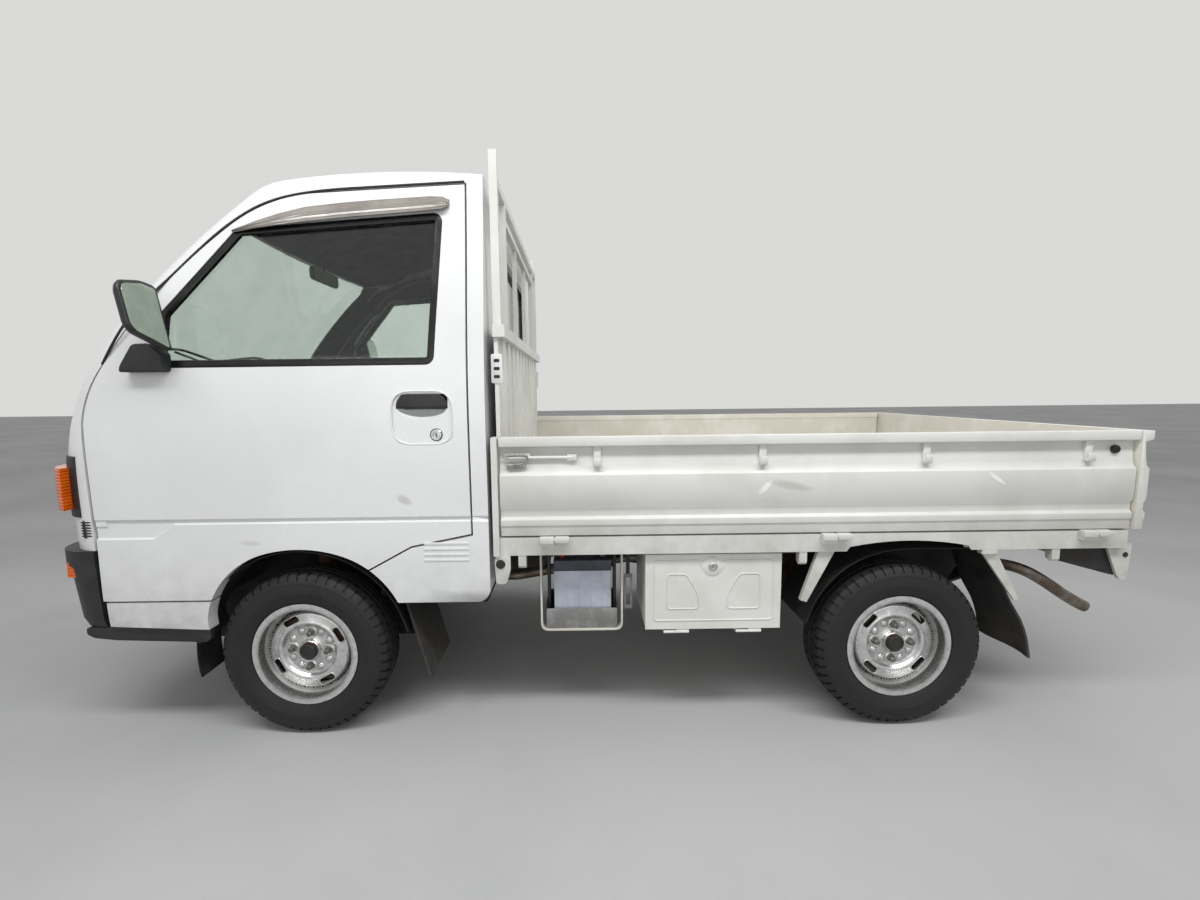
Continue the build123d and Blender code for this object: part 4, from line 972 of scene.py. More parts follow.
cushion = pad("seat_cushion_left", [(-1.048, 0.702), (-0.578, 0.702), (-0.566, 0.778), (-1.048, 0.800)], 0.43)
back_side = [(-0.548, 0.815), (-0.490, 0.815), (-0.408, 1.325), (-0.424, 1.345), (-0.462, 1.338)]
back = pad("seat_back_left", back_side, 0.415)
rest = pad("seat_headrest_left", [(-0.440, 1.382), (-0.406, 1.382), (-0.393, 1.490), (-0.426, 1.496)], 0.195)
for made, name in ((cushion, "seat_cushion_right"), (back, "seat_back_right"), (rest, "seat_headrest_right")):
    pad_twin(made, name, 2 * seat_y)
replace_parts(cushion, "seats")
# the seats' frames: bent tube in black enamel, on runners screwed to the floor
seat_steel = finish("steel tube, black enamel", "#1B1C1D", "#2A2826", 0.4, patch_mm=60, grain_mm=1,
                    relief=0.2)
for side, label in both_sides:
    y = side * seat_y
    for k, dy in enumerate((-0.19, 0.19)):
        bar(f"seat_runner_{label}_{k}", (-1.0, y + dy - 0.011, 0.6602), (-0.56, y + dy + 0.011, 0.706),
            seat_steel, "root", soft=0.003)
        joint = [(x, y + dy * 0.9, z) for x, z in ((-0.60, 0.71), (-0.53, 0.74), (-0.515, 0.87))]
        rod(f"seat_joint_{label}_{k}", joint, 0.008, seat_steel, "root", smooth=True)
    for k, dy in enumerate((-0.05, 0.05)):
        post = [(x, y + dy, z) for x, z in ((-0.436, 1.30), (-0.430, 1.345), (-0.422, 1.40))]
        rod(f"headrest_post_{label}_{k}", post, 0.006, chrome, "root")
    for k, (x, z) in enumerate(((-1.044, 0.800), (-0.582, 0.782))):
        rod(f"seat_piping_{label}_{k}", [(x, y - 0.205, z), (x, y + 0.205, z)], 0.0035, piping, "root")
    for k, dy in enumerate((-0.12, 0.12)):
        channel = [(x, y + dy, z) for x, z in ((-1.03, 0.8095), (-0.80, 0.804), (-0.60, 0.795))]
        rod(f"seat_channel_{label}_{k}", channel, 0.0028, piping, "root", smooth=True)

# Running gear: welded rails and pressed arms in chassis enamel, dull and brown with
# dust; cast axle parts and drums, rough and rusty; a cast alloy engine and gearbox,
# grey with oil; and an exhaust of coated steel tube, stained by heat.
chassis_black = finish("chassis enamel, brushed on, dusty", "#1C1C1D", "#2C2A28", 0.65, patch_mm=130,
                       grain_mm=2.5, relief=0.4)
spotted(chassis_black, "#4A3226", 14, 0.55)
soiled_below(chassis_black, "#57504A", 0.55, 0.15, 0.55, 60)
for name in ("chassis_frame", "front_suspension", "rear_springs", "propshaft", "fuel_tank"):
    panel(name, chassis_black)
cast_iron = finish("cast iron, sand cast, rusty", "#37322F", "#4A3528", 0.8, 0.35, patch_mm=45, share=0.5,
                   grain_mm=2.5, relief=0.8)
spotted(cast_iron, "#6B4127", 10, 0.45)
for name in ("knuckle_left", "knuckle_right", "rear_axle"):
    panel(name, cast_iron)
cast_alloy = finish("aluminium, die cast, oily dust", "#66655F", "#4C4944", 0.6, 0.55, patch_mm=70, share=0.5,
                    grain_mm=2, relief=0.5)
for name in ("engine", "gearbox"):
    panel(name, cast_alloy)
exhaust_steel = finish("aluminised steel tube, stained", "#85807A", "#6B5D50", 0.42, 0.75, patch_mm=80,
                       share=0.45, grain_mm=2, relief=0.3)
spotted(exhaust_steel, "#6A4128", 16, 0.5)
pipe_run = panel("exhaust", exhaust_steel, angle=45)
sliced(pipe_run, [((1.335, 0, 0), (1, 0, 0))], clear_outer=True, use_fill=True)
tail_line = [(1.325, -0.412, 0.4555), (1.350, -0.455, 0.468), (1.385, -0.530, 0.484), (1.440, -0.585, 0.484),
             (1.510, -0.600, 0.446), (1.608, -0.606, 0.376), (1.655, -0.612, 0.352)]
rod("exhaust_tail", tail_line, 0.0185, exhaust_steel, "root", smooth=True)

# Mud flaps: black rubber sheet behind each wheel, screwed to the arches, chalky
# with road dust. The rear pair hangs in a long curve.
flap_rubber = finish("rubber sheet, pressed", "#1D1D1E", "#302E2C", 0.75, patch_mm=60, share=0.4, grain_mm=2,
                     relief=0.4)
soiled_below(flap_rubber, "#5A534B", 0.42, 0.18, 0.5, 50)
flaps = panel("mud_flaps", flap_rubber)
drop_faces(flaps, lambda c, n: c.x > 0)


def bent_sheet(name, line, thickness, low, high, material, body, edge=None):
    """A sheet bent along a line in the side view, from one Y to another."""
    count = len(line)
    bpy.ops.object.select_all(action="DESELECT")
    bpy.ops.mesh.primitive_grid_add(x_subdivisions=count - 1, y_subdivisions=6, size=1)
    made = bpy.context.object
    for vertex in made.data.vertices:
        i = int(round((vertex.co.x + 0.5) * (count - 1)))
        t = vertex.co.y + 0.5
        sway = 0.0 if edge is None else edge(i / (count - 1), t)
        vertex.co = (line[i][0] + sway, low + (high - low) * t, line[i][1])
    thicken(made, thickness, 0)
    return settle(made, name, material, body, angle=50)


flap_line = [(1.256, 0.572), (1.268, 0.545), (1.278, 0.518), (1.287, 0.492), (1.297, 0.464), (1.308, 0.436),
             (1.323, 0.408), (1.341, 0.380), (1.358, 0.352), (1.372, 0.322), (1.383, 0.290), (1.391, 0.256),
             (1.398, 0.222)]
other_side(bent_sheet("rear_flap_left", flap_line, 0.007, -0.706, -0.500, flap_rubber, "root",
                      edge=lambda u, t: 0.010 * u * math.sin(t * 5.2)))

# Wheelhouse liners: black moulded sheets over each wheel, open towards it, with
# a flat black wall inside them, painted shade for the dark deep in each arch.
# Dull, with dust in the grain.
# The wheels' middles, in metres: height, distance from mid width, and X.
hub_z, wheel_y, front_axle_x, rear_axle_x = 0.267, 0.645, -0.9235, 0.9765
liner_black = finish("polypropylene sheet, moulded black, dusty", "#0F0F10", "#1A1918", 0.75, patch_mm=70,
                     share=0.4, grain_mm=2.5, relief=0.4)
front_arc = arc((front_axle_x, hub_z), (0.338, 0.338), range(12, 196, 4))
rear_arc = [(1.258, 0.556), (1.252, 0.572), (1.236, 0.583), (1.200, 0.586), (1.000, 0.587)]
rear_arc += arc((rear_axle_x, hub_z), (0.310, 0.318), range(94, 170, 4))
for name, line, low, high in (("front_liner", front_arc, -0.708, -0.595),
                              ("rear_liner", rear_arc, -0.700, -0.470)):
    other_side(bent_sheet(f"{name}_left", line, 0.003, low, high, liner_black, "root"))
front_arch_shade_outline = [(x, min(z, 0.600)) for x, z in front_arc if x > -1.19]
front_arch_shade_outline += [(-1.430, 0.460), (-1.430, 0.195), (-1.075, 0.195), (-1.075, 0.380), (-0.772, 0.380),
                (-0.772, 0.195), (-0.600, 0.195)]
rear_arch_shade_outline = [(1.310, 0.586)] + rear_arc[4:] + [(0.700, 0.330), (1.240, 0.330), (1.310, 0.450)]
# the flat walls are painted shade: black sheets standing where each arch is dark inside
for name, outline, y in (("front_liner_wall", front_arch_shade_outline, -0.408), ("rear_liner_wall", rear_arch_shade_outline, -0.470)):
    other_side(plate(f"{name}_left", outline, 1, y, 0.003, liner_black, "root", soft=0))
scoop_line = [(-1.262, 0.372), (-1.259, 0.350), (-1.254, 0.330), (-1.248, 0.312)]
other_side(bent_sheet("front_scoop_left", scoop_line, 0.005, -0.712, -0.560, flap_rubber, "root",
                      edge=lambda u, t: 0.006 * u * math.sin(t * 6)))


# Wheels: pressed steel rims in silver lacquer, darkened in the well by brake dust
# and painted shade, with four nuts and a black hub cap; tubeless tyres with ribs
# and shoulder blocks.
def wheel_radius(tree):
    """How far a point lies from its own wheel's axle line: the wheels mirror about mid wheelbase."""
    middle_x, half_wheelbase = 0.0265, 0.95
    spot = node(tree, "ShaderNodeTexCoord")
    place = node(tree, "ShaderNodeSeparateXYZ", {"Vector": spot.outputs["Object"]})
    x = node(tree, "ShaderNodeMath", {0: place.outputs["X"], 1: middle_x}, operation="SUBTRACT")
    x = node(tree, "ShaderNodeMath", {0: x.outputs[0]}, operation="ABSOLUTE")
    x = node(tree, "ShaderNodeMath", {0: x.outputs[0], 1: half_wheelbase}, operation="SUBTRACT")
    z = node(tree, "ShaderNodeMath", {0: place.outputs["Z"], 1: hub_z}, operation="SUBTRACT")
    flat = node(tree, "ShaderNodeCombineXYZ", {"X": x.outputs[0], "Y": z.outputs[0]})
    length = node(tree, "ShaderNodeVectorMath", {0: flat.outputs["Vector"]}, operation="LENGTH")
    return length.outputs["Value"]


# silver lacquer: metallic, bright, spotted with brake dust, and darkest in the well,
# where brake dust and painted shade lie together
silver = finish("silver lacquer on pressed steel", "#D8D9DA", "#C8C8C6", 0.24, 0.8, patch_mm=22, share=0.35,
                grain_mm=1.2, relief=0.2)
# how dark the lacquer is at each radius, in metres: brake dust with painted shade, darkest in the well
well_dust_and_shade_by_radius = [(0.0, 0.25), (0.045, 0.10), (0.085, 0.22), (0.094, 0.0), (0.126, 0.05), (0.134, 0.75),
                  (0.147, 0.6), (0.155, 0.05), (0.166, 0.0)]
# this darkening by radius is brake dust and painted shade of the well together
dust = colour_steps(silver.node_tree, wheel_radius(silver.node_tree),
                    [(radius, (level, level, level, 1)) for radius, level in well_dust_and_shade_by_radius])
lay_over(silver, dust, "#55504B")
spotted(silver, "#6E655B", 3, 0.80)

# tyre rubber: black and dull, with fine rings 4.2 mm apart round its sides
tyre_rubber = finish("tyre rubber, vulcanised", "#0F0F10", "#191716", 0.6, patch_mm=70, share=0.35,
                     grain_mm=1.5, relief=0.3)
tree = tyre_rubber.node_tree
rings = node(tree, "ShaderNodeMath", {0: wheel_radius(tree), 1: 2 * math.pi / 0.0042}, operation="MULTIPLY")
rings = node(tree, "ShaderNodeMath", {0: rings.outputs[0]}, operation="SINE")
raise_relief(tyre_rubber, rings.outputs[0], 0.35, 0.0006)
# plated nuts are dull and brownish, the moulded cap black and plain
nut_steel = finish("steel nut, zinc plated, dull", "#8B8986", "#6E6660", 0.4, 0.8, patch_mm=8, share=0.5,
                   grain_mm=1, relief=0.3)
hub_black = finish("polypropylene cap, moulded black", "#1A1A1B", "#282726", 0.5, patch_mm=20, grain_mm=1,
                   relief=0.3)

# half of the tyre's section in mm: distance out from the middle plane, radius
half_section = [
    (0, 152.3), (56.6, 152.3), (56.6, 168), (59.5, 171), (61.5, 171.5), (64.5, 178), (69.2, 191), (71.2, 200),
    (72.0, 201), (72.6, 213), (71.6, 226), (69.6, 235), (69.9, 237), (67.2, 245.5), (64.4, 249.5),
    (61.2, 255.5), (56.5, 260.4), (50.5, 263.4), (37.2, 265.1), (36.2, 258.5), (31.2, 258.5), (30.2, 265.7),
    (13.2, 266.6), (12.2, 259.5), (7.2, 259.5), (6.2, 266.8), (0, 266.9),
]
section = half_section[1:-1] + [(-a, b) for a, b in reversed(half_section[1:-1])]
# stations round the tyre: four to each tread block and the gap beside it
tread_steps = 208


def tyre(name, x, side):
    """A tyre turned from its section, with blocks cut across its shoulders and ribs."""
    centre = Vector((x, side * wheel_y, hub_z))
    made = turned(name, [(b / 1000, side * a / 1000) for a, b in section], centre, (0, 1, 0), tyre_rubber,
                  f"wheel_{name[5:]}", steps=tread_steps, angle=24)

    def column(c):
        turn = math.atan2(c.z - centre.z, c.x - centre.x) / (2 * math.pi) * tread_steps
        return int(math.floor(turn)) % 4

    def reach(c):
        return math.hypot(c.z - centre.z, c.x - centre.x)

    for low, high, every, depth in ((0.038, 0.0685, 0, 0.0045), (0.0135, 0.030, 2, 0.0025)):
        only(made)
        choose(made, lambda c, n: low < abs(c.y - centre.y) < high and reach(c) > 0.2465
               and column(c) == every and reach(c + n) > reach(c))
        bpy.ops.mesh.extrude_region_shrink_fatten(TRANSFORM_OT_shrink_fatten={"value": -depth})
        bpy.ops.object.mode_set(mode="OBJECT")
    bpy.ops.object.shade_smooth_by_angle(angle=math.radians(24))
    return made


# half of the disc's section in metres: radius, distance out from the middle plane
disc_section = [(0.0240, 0.0150), (0.0240, 0.0290), (0.0262, 0.0312), (0.0300, 0.0312), (0.0325, 0.0290),
                (0.0345, 0.0225), (0.0375, 0.0200), (0.0760, 0.0200), (0.0800, 0.0215), (0.0850, 0.0265),
                (0.0880, 0.0320), (0.0910, 0.0345), (0.0945, 0.0350), (0.0980, 0.0335), (0.1010, 0.0320),
                (0.1200, 0.0318), (0.1250, 0.0300), (0.1290, 0.0245), (0.1310, 0.0150), (0.1320, -0.0050),
                (0.1375, -0.0120), (0.1460, -0.0120), (0.1460, -0.0150), (0.1350, -0.0150), (0.1290, -0.0080),
                (0.1280, 0.0120), (0.1240, 0.0260), (0.1180, 0.0285), (0.0980, 0.0290), (0.0900, 0.0300),
                (0.0840, 0.0220), (0.0790, 0.0170), (0.0340, 0.0165), (0.0300, 0.0150)]
# the sections of what stands on the disc, in the same way
boss_section = [(0, 0.0062), (0.0050, 0.0058), (0.0090, 0.0040), (0.0125, 0.0008), (0.0130, -0.0020),
                (0, -0.0020)]
cap_section = [(0, 0.0150), (0.0268, 0.0150), (0.0268, 0.0395), (0.0250, 0.0440), (0.0215, 0.0460),
               (0.0180, 0.0456), (0.0168, 0.0446), (0, 0.0446)]
seat_section = [(0, -0.0025), (0.0205, -0.0025), (0.0200, 0.0020), (0.0165, 0.0042), (0.0140, 0.0030),
                (0, 0.0030)]
nut_section = [(0, 0.0020), (0.0115, 0.0020), (0.0115, 0.0055), (0.0102, 0.0060), (0.0102, 0.0150),
               (0.0088, 0.0172), (0.0050, 0.0192), (0, 0.0196)]
valve_section = [(0, 0), (0.0062, 0), (0.0052, 0.012), (0.0040, 0.015), (0.0040, 0.028), (0.0030, 0.030),
                 (0, 0.030)]
for end, x, slot_turn, nut_turn in (("front", front_axle_x, 28, -4), ("rear", rear_axle_x, 48, -2)):
    for side, label in both_sides:
        body = f"wheel_{end}_{label}"
        barrel = panel(f"rim_{end}_{label}", silver, angle=32)
        drop_faces(barrel, lambda c, n: math.hypot(c.x - x, c.z - hub_z) < 0.1345)
        out = (0, side, 0)
        hub = Vector((x, side * wheel_y, hub_z))

        def round_hub(degrees, radius, reach, sway=0.0):
            """A point round the hub at a turn and a radius, reach metres out from the middle plane."""
            a = math.radians(degrees) + sway
            return hub + Vector((math.cos(a) * radius, side * reach, math.sin(a) * radius))

        disc = turned(f"wheel_disc_{end}_{label}", disc_section, hub, out, silver, body, steps=96, angle=40)
        for i in range(4):
            a = math.radians(slot_turn + 90 * i)
            along = Vector((-math.sin(a), 0, math.cos(a)))
            radial = Vector((math.cos(a), 0, math.sin(a)))

            def slot_edge(half_length, half_width, corner):
                """The outline of a vent slot, set across the disc's radius."""
                return [hub + radial * (0.1105 + v) + along * u for u, v in
                        rounded((-half_length, -half_width), (half_length, half_width), corner)]

            hole = [(c.x, c.z) for c in slot_edge(0.0255, 0.0098, 0.0095)]
            cut_out(disc, plate("slot_cutter", hole, 1, side * 0.60, side * 0.12, silver, "root", soft=0))
            lip = [c + Vector((0, side * 0.0322, 0)) for c in slot_edge(0.0275, 0.0118, 0.0112)]
            rod(f"slot_lip_{i}_{end}_{label}", lip, 0.0016, silver, body, closed=True)
            for k, sway in enumerate((-0.30, 0.30)):
                turned(f"disc_boss_{i}_{k}_{end}_{label}", boss_section,
                       round_hub(nut_turn + 45 + 90 * i, 0.066, 0.0195, sway), out, silver, body, steps=24,
                       angle=60)
        only(disc)
        bpy.ops.object.shade_smooth_by_angle(angle=math.radians(40))
        made = tyre(f"tyre_{end}_{label}", x, side)
        made.name = f"tyre_tread_{end}_{label}"
        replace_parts(made, f"tyre_{end}_{label}")
        turned(f"hub_cap_{end}_{label}", cap_section, hub, out, hub_black, body, steps=40)
        for i in range(4):
            seat = round_hub(nut_turn + 90 * i, 0.0572, 0.0205)
            turned(f"nut_seat_{i}_{end}_{label}", seat_section, seat, out, silver, body, steps=28, angle=50)
            turned(f"wheel_nut_{i}_{end}_{label}", nut_section, seat, out, nut_steel, body, steps=6, angle=20)
        turned(f"valve_{end}_{label}", valve_section, round_hub(slot_turn + 52, 0.1400, 0.0100), out,
               flap_rubber, body, steps=16)


# Battery: a pale moulded case with a dark lid and red terminal cap, in a pan of
# dull galvanised sheet hung from the frame by a cream steel strap and black arms.
battery_case = finish("polypropylene, moulded pale blue-grey", "#BCC1CF", "#B0B4C2", 0.42, patch_mm=60,
                      grain_mm=1.2, relief=0.2)
battery_lid = finish("polypropylene, moulded dark", "#3B3F4A", "#33363F", 0.45, patch_mm=50, grain_mm=1.2,
                     relief=0.3)
case = bar("battery_case", (-0.130, -0.642, 0.3472), (0.057, -0.515, 0.511), battery_case, "root", soft=0.004)
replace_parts(case, "battery")
bar("battery_top", (-0.1315, -0.6435, 0.508), (0.0585, -0.5135, 0.5450), battery_lid, "root", soft=0.004)
bar("battery_foot", (-0.1315, -0.6435, 0.3472), (0.0585, -0.5135, 0.358), battery_case, "root", soft=0.002)
red_rubber = finish("rubber cap, red", "#A8201C", "#8C1A18", 0.5, patch_mm=12, grain_mm=1, relief=0.3)
lead = finish("lead clamp, cast", "#6E6F70", "#5B5C5D", 0.6, 0.6, patch_mm=12, grain_mm=1, relief=0.4)
terminal_section = [(0, 0.5440), (0.0135, 0.5440), (0.0145, 0.550), (0.0130, 0.562), (0.0100, 0.566),
                    (0, 0.566)]
plug_section = [(0, 0.5440), (0.0090, 0.5440), (0.0090, 0.5480), (0.0075, 0.5495), (0, 0.5495)]
for i, (x, cap) in enumerate(((-0.104, red_rubber), (0.031, lead))):
    turned(f"terminal_cap_{i}", terminal_section, (x, -0.58, 0), (0, 0, 1), cap, "root", steps=28)
    bar(f"terminal_lug_{i}", (x - 0.009, -0.618, 0.546), (x + 0.009, -0.585, 0.558), cap, "root", soft=0.003)
for i in range(6):
    turned(f"battery_plug_{i}", plug_section, (-0.112 + i * 0.0288, -0.545, 0), (0, 0, 1), battery_lid,
           "root", steps=20)
for i, x in enumerate((-0.124, -0.0865, -0.049, -0.0115, 0.026)):
    bar(f"battery_rib_{i}", (x, -0.6432, 0.386), (x + 0.0022, -0.6415, 0.500), battery_case, "root",
        soft=0.0006)
cream = finish("cream enamel on steel, sprayed", "#DAD8CF", "#CFCCC1", 0.42, patch_mm=120, grain_mm=5,
               relief=0.08)
soiled_below(cream, "#8A8276", 0.46, 0.28, 0.35, 50)
tray_black = finish("chassis enamel, brushed", "#232426", "#302F2D", 0.6, patch_mm=60, grain_mm=2, relief=0.4)
strap_out = [(-0.174, 0.5895), (-0.174, 0.312), (0.094, 0.312), (0.094, 0.5895)]
strap_in = [(0.088, 0.5895), (0.088, 0.318), (-0.168, 0.318), (-0.168, 0.5895)]


def bent_line(line, radius):
    """Rounds a line's inner corners and keeps its ends."""
    loop = round_off(line, radius)
    return [line[0]] + loop[6:-6] + [line[-1]]


strap = plate("battery_strap", bent_line(strap_out, 0.026) + bent_line(strap_in, 0.021), 1, -0.6565, 0.030,
              cream, "root", soft=0.0012)
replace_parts(strap, "battery_tray")
pan_steel = finish("galvanised sheet, dull", "#8E8F8E", "#7C7C7A", 0.5, 0.3, patch_mm=40, share=0.5,
                   grain_mm=1.5, relief=0.2)
# pan, hangers, slotted bracket and clamp: name, two corners, finish, edge radius
for name, low, high, material, soft in (
    ("battery_pan_face", (-0.1560, -0.6500, 0.3180), (0.0760, -0.6470, 0.3860), pan_steel, 0.001),
    ("battery_pan_floor", (-0.1560, -0.6500, 0.3400), (0.0760, -0.5080, 0.3460), pan_steel, 0.001),
    ("battery_pan_back", (-0.1560, -0.5110, 0.3400), (0.0760, -0.5080, 0.4000), tray_black, 0.001),
    ("battery_pan_side_0", (-0.1560, -0.6500, 0.3400), (-0.1530, -0.5080, 0.3980), tray_black, 0.001),
    ("battery_pan_side_1", (0.0730, -0.6500, 0.3400), (0.0760, -0.5080, 0.3980), tray_black, 0.001),
    ("battery_hanger_0", (-0.1520, -0.6250, 0.3430), (-0.1420, -0.5950, 0.5895), tray_black, 0.0015),
    ("battery_hanger_1", (0.0640, -0.6250, 0.3430), (0.0740, -0.5950, 0.5895), tray_black, 0.0015),
    ("slotted_bracket_0", (0.0980, -0.6420, 0.3800), (0.1055, -0.6390, 0.4970), pan_steel, 0.0006),
    ("slotted_bracket_1", (0.1185, -0.6420, 0.3800), (0.1260, -0.6390, 0.4970), pan_steel, 0.0006),
    ("slotted_bracket_bar_0", (0.0990, -0.6425, 0.3800), (0.1250, -0.6385, 0.3920), pan_steel, 0.0006),
    ("slotted_bracket_bar_1", (0.0990, -0.6425, 0.4340), (0.1250, -0.6385, 0.4460), pan_steel, 0.0006),
    ("slotted_bracket_bar_2", (0.0990, -0.6425, 0.4850), (0.1250, -0.6385, 0.4970), pan_steel, 0.0006),
    ("slotted_bracket_arm", (0.1060, -0.6395, 0.4860), (0.1180, -0.6300, 0.5895), tray_black, 0.001),
    ("battery_clamp", (-0.1520, -0.6180, 0.5130), (0.0740, -0.5980, 0.5210), tray_black, 0.0015),
    ("tray_arm", (-0.1400, -0.5120, 0.3400), (0.0600, -0.4060, 0.3460), tray_black, 0.001),
    ("tray_back_hanger", (-0.1400, -0.4120, 0.3400), (0.0600, -0.4060, 0.5600), tray_black, 0.001),
):
    bar(name, low, high, material, "root", soft=soft)

# Tool box: a cream moulded box under the bed, with an embossed lid hinged along
# its lower edge and a chromed turn lock. Its polyethylene is matt and speckled.
moulded_cream = finish("polyethylene, moulded cream", "#DBDBD7", "#D3D2CC", 0.45, patch_mm=160, grain_mm=2.5,
                       relief=0.25)
spotted(moulded_cream, "#A29C8F", 12, 0.72)
for name in ("toolbox", "toolbox_lid"):
    panel(name, moulded_cream)
# the lid's embossed lines: one round its rim and under the lock, and one on each half
lid_lines = (
    [(0.188, 0.366), (0.564, 0.366), (0.564, 0.561), (0.412, 0.561), (0.404, 0.534), (0.372, 0.510),
     (0.340, 0.534), (0.332, 0.561), (0.188, 0.561)],
    [(0.229, 0.404), (0.328, 0.404), (0.328, 0.452), (0.290, 0.517), (0.229, 0.517)],
    [(0.521, 0.404), (0.419, 0.404), (0.419, 0.452), (0.457, 0.517), (0.521, 0.517)],
)
for i, outline in enumerate(lid_lines):
    rod(f"lid_bead_{i}", [(x, -0.7082, z) for x, z in round_off(outline, 0.014)], 0.0024, moulded_cream,
        "toolbox_lid", closed=True)
lid_boss_section = [(0, -0.001), (0.031, -0.001), (0.031, 0.0015), (0.029, 0.0028), (0, 0.0028)]
lid_lock_section = [(0, -0.001), (0.0145, -0.001), (0.0145, 0.0022), (0.0125, 0.0034), (0.0060, 0.0034),
                    (0.0055, 0.0020), (0, 0.0020)]
turned("lid_boss", lid_boss_section, (0.372, -0.708, 0.542), (0, -1, 0), moulded_cream, "toolbox_lid",
       steps=40)
turned("lid_lock", lid_lock_section, (0.372, -0.7105, 0.542), (0, -1, 0), chrome, "toolbox_lid", steps=36)
# the key slot is a thin black bar on the lock's face: painted shade of the keyway
bar("lid_lock_slot", (0.3708, -0.7142, 0.5385), (0.3732, -0.7125, 0.5455), black_abs, "toolbox_lid",
    soft=0.0003)


# Load bed: rolled and folded sheet steel in white enamel, a little duller than
# the cab's, scratched and grimy, rusty where loads have knocked it. Inside, the
# paint is worn to a warm, matt white.
bed_paint = finish("white enamel, weathered", "#D8D9D6", "#CFCFCA", 0.4, patch_mm=300, grain_mm=5,
                   relief=0.05)
soiled_below(bed_paint, "#8E8A80", 0.74, 0.58, 0.42, 80)
spotted(bed_paint, "#9A948A", 7, 0.82)
spotted(bed_paint, "#7A5A42", 5, 0.98)
scuffed(bed_paint, "#F1F1EF", (0.523, -0.733, 0.795), (0.042, 0.014), -0.8, 0.9)
scuffed(bed_paint, "#F1F1EF", (1.228, -0.733, 0.815), (0.048, 0.009), 0.62, 0.9)
scuffed(bed_paint, "#9B968D", (0.60, -0.733, 0.80), (0.10, 0.02), 0.2, 0.4)
inner_paint = finish("white enamel, worn by loads", "#DDDAD2", "#D2CEC3", 0.55, patch_mm=160, share=0.5,
                     grain_mm=4, relief=0.15)
spotted(inner_paint, "#7D6450", 14, 0.80)
spotted(inner_paint, "#A39C8F", 30, 0.66, (1, 1, 3))
for name in ("headboard", "guard_frame", "rear_beam", "bed_stays"):
    panel(name, bed_paint)
gusset_edge = [(1.606, 0.5990), (1.690, 0.5990), (1.6835, 0.4860), (1.6755, 0.4770), (1.6640, 0.4790),
               (1.6500, 0.4960)]
# the rear beam's end behind the gusset is a black plate: partly the beam's own grime, partly painted shade
# under the bed
shaded_beam_end_edge = [(1.452, 0.5990), (1.640, 0.5990), (1.652, 0.4920), (1.6330, 0.4960), (1.452, 0.5470)]
hole_section = [(0, -0.001), (0.0085, -0.001), (0.0085, 0.0006), (0, 0.0006)]
gusset = plate("rear_gusset_left", round_off(gusset_edge, 0.006), 1, -0.7095, 0.0035, bed_paint, "root",
               soft=0.0008)
other_side(plate("beam_end_left", round_off(shaded_beam_end_edge, 0.006), 1, -0.6980, 0.0035, chassis_black, "root",
                 soft=0.0008))
other_side(gusset)
# the gusset's hole is a flat black disc on its face: painted shade
other_side(turned("gusset_hole_left", hole_section, (1.671, -0.7097, 0.562), (0, -1, 0), tray_black, "root",
                  steps=24))

# The drop sides and tailgate are rolled to one section.
# height, and how far the skin lies behind the outermost face there, in mm
gate_steps = [(652, 4), (681, 4), (684, 0), (702, 0), (711, 8), (733, 8), (746, 0), (839, 0), (848, 9),
              (864, 13), (888, 16), (921, 20)]


def rolled_section(inner, face, rail, lip):
    """The section's outline in metres, from the inner foot round by the skin and the rail."""
    out = 1 if face > inner else -1
    outline = [(inner, 652)] + [(face - out * depth, z) for z, depth in gate_steps]
    outline += [(rail, 928), (rail, 955), (inner - out * lip, 955)]
    if lip:
        outline += [(inner - out * lip, 930), (inner, 926)]
    return [(a / 1000, z / 1000) for a, z in outline]


for side, label in both_sides:
    section = [(side * a, z) for a, z in rolled_section(703, 733, 737.5, 4)]
    gate = plate(f"side_gate_skin_{label}", section, 0, -0.284, 1.9375, bed_paint, f"side_gate_{label}",
                 soft=0.0009)
    line_faces(gate, inner_paint, lambda c, n: n.y * side < -0.6)
    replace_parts(gate, f"side_gate_{label}")
tail = plate("tailgate_skin", rolled_section(1659.5, 1688.5, 1693.5, 0), 1, -0.7375, 1.475, bed_paint,
             "tailgate", soft=0.0009)
line_faces(tail, inner_paint, lambda c, n: n.x < -0.6)
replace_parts(tail, "tailgate")
for i, x in enumerate((-0.120, 0.744, 1.543)):
    other_side(rod(f"gate_knuckle_{i}_left", [(x - 0.001, -0.7455, 0.643), (x + 0.045, -0.7455, 0.643)],
                   0.0062, bed_paint, "side_gate_left"))
    other_side(bar(f"sill_knuckle_{i}_left", (x - 0.046, -0.7514, 0.6300), (x - 0.0020, -0.7270, 0.6505),
                   bed_paint, "root", soft=0.003))
    other_side(bar(f"gate_block_{i}_left", (x, -0.7514, 0.6330), (x + 0.0440, -0.7270, 0.6505),
                   bed_paint, "side_gate_left", soft=0.003))
for i, y in enumerate((-0.560, 0.0, 0.560)):
    rod(f"tail_knuckle_{i}", [(1.6915, y - 0.001, 0.643), (1.6915, y + 0.045, 0.643)], 0.0058, bed_paint,
        "tailgate")
    bar(f"tail_leaf_{i}", (1.6842, y - 0.001, 0.644), (1.6925, y + 0.045, 0.676), bed_paint, "tailgate",
        soft=0.001)
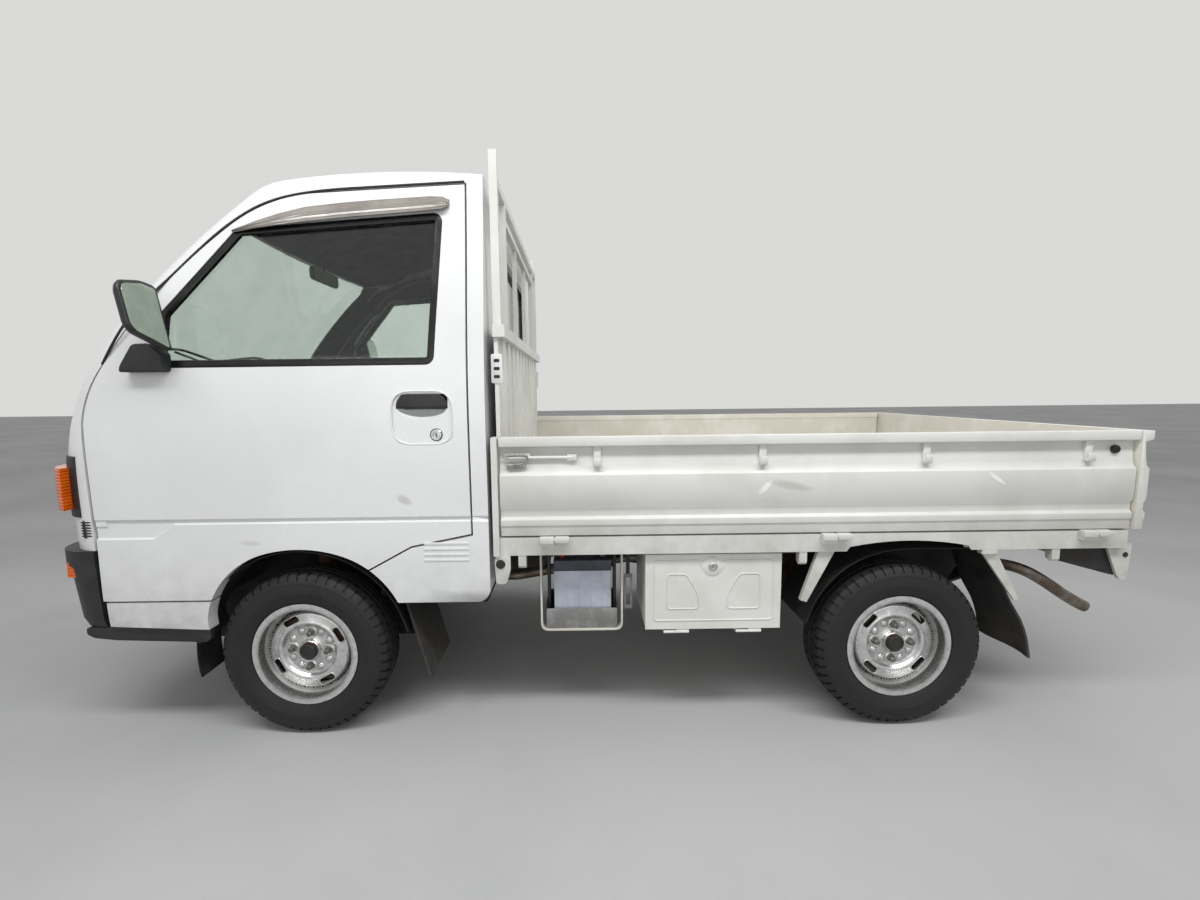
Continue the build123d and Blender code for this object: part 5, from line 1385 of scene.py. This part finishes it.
# rope hooks: bent strip, each standing on an oval pressing
hook_places = (0.012, 0.515, 1.014, 1.510)
hook_side = [(-0.711, 0.868), (-0.728, 0.862), (-0.7350, 0.8625), (-0.7385, 0.868), (-0.7385, 0.890),
             (-0.7330, 0.890), (-0.7325, 0.873), (-0.7260, 0.873), (-0.7250, 0.884), (-0.7270, 0.908),
             (-0.7250, 0.9275), (-0.711, 0.9275)]
for i, x in enumerate(hook_places):
    other_side(plate(f"rope_hook_{i}_left", hook_side, 0, x - 0.011, 0.022, bed_paint, "side_gate_left",
                     soft=0.0014))
other_side(bar("latch_base_left", (-0.268, -0.7235, 0.880), (-0.190, -0.7120, 0.908), bed_paint,
               "side_gate_left", soft=0.002))
other_side(rod("latch_slide_left", [(-0.256, -0.7255, 0.893), (-0.062, -0.7255, 0.893)], 0.0052, bed_paint,
               "side_gate_left"))
other_side(bar("latch_stop_left", (-0.080, -0.7290, 0.883), (-0.050, -0.7130, 0.902), bed_paint,
               "side_gate_left", soft=0.002))
panel("bed_deck", bed_paint, lining=inner_paint, lined=lambda c, n: n.z > 0.6 and c.z > 0.655)

for i, x in enumerate(hook_places):
    ring = arc((x, 0.878), (0.030, 0.0115), [k * 11.25 for k in range(32)])
    other_side(plate(f"hook_pressing_{i}_left", ring, 1, -0.7135, -0.0035, bed_paint, "side_gate_left",
                     soft=0.0015))

# toggle latch at the gate's front corner, bent wire through two eyes
zinc = finish("steel wire, zinc plated", "#A9AAA8", "#8C8A86", 0.35, 0.85, patch_mm=15, grain_mm=1,
              relief=0.2)
wire_line = [(-0.278, -0.729, 0.898), (-0.205, -0.731, 0.906), (-0.196, -0.731, 0.890),
             (-0.205, -0.731, 0.874), (-0.268, -0.729, 0.870)]
latch_edge = round_off([(-0.262, 0.858), (-0.205, 0.862), (-0.200, 0.874), (-0.262, 0.876)], 0.004)
knob_section = [(0, -0.002), (0.0125, -0.002), (0.0135, 0.004), (0.0115, 0.0085), (0, 0.0095)]
other_side(rod("latch_wire_left", wire_line, 0.0028, zinc, "side_gate_left", smooth=True))
other_side(plate("latch_handle_left", latch_edge, 1, -0.7265, -0.004, zinc, "side_gate_left", soft=0.001))
other_side(turned("gate_knob_left", knob_section, (1.595, -0.7165, 0.898), (0, -1, 0), black_abs,
                  "side_gate_left", steps=32))

# ear plate behind the cab's corner, with a rubber bung in it
ear_edge = [(-0.304, 0.499), (-0.272, 0.499), (-0.258, 0.545), (-0.258, 0.606), (-0.286, 0.606),
            (-0.308, 0.580)]
bung_section = [(0, 0), (0.0135, 0), (0.0145, 0.002), (0.0120, 0.005), (0, 0.006)]
other_side(plate("sill_ear_left", round_off(ear_edge, 0.010), 1, -0.7245, -0.003, bed_paint, "root",
                 soft=0.001))
other_side(turned("sill_bung_left", bung_section, (-0.289, -0.7270, 0.563), (0, -1, 0), flap_rubber, "root",
                  steps=28))

# slotted strap at the headboard's near end
other_side(plate("headboard_strap_left", rounded((-0.306, 1.118), (-0.272, 1.206), 0.006), 1, -0.6895,
                 -0.0035, bed_paint, "root"))
# the strap's three slots are thin black plates on its face: painted shade
for i, z in enumerate((1.138, 1.162, 1.186)):
    other_side(plate(f"strap_slot_{i}_left", rounded((-0.298, z - 0.005), (-0.280, z + 0.005), 0.004), 1,
                     -0.6925, -0.0009, chassis_black, "root", soft=0))


# Tail lamps: one ribbed acrylic lens a side in three colours: red outside, then
# orange, and clear inside.
tail_lens = finish("acrylic lens, three colours", "#B0141A", "#A01016", 0.1, patch_mm=60, grain_mm=6,
                   relief=0.1)
tree, shader = surface(tail_lens)
spot = node(tree, "ShaderNodeTexCoord")
place = node(tree, "ShaderNodeSeparateXYZ", {"Vector": spot.outputs["Object"]})
out = node(tree, "ShaderNodeMath", {0: place.outputs["Y"]}, operation="ABSOLUTE")
bands = colour_steps(tree, out.outputs[0], [(0.0, linear("#DDDDD9")), (0.505, linear("#E56A14")),
                                            (0.566, linear("#B3141A"))], between="CONSTANT")
tree.links.new(bands, shader.inputs["Base Color"])
ribbed(tail_lens, "Y", 7.854, 0.5, 0.002)
panel("rear_lamps", tail_lens)
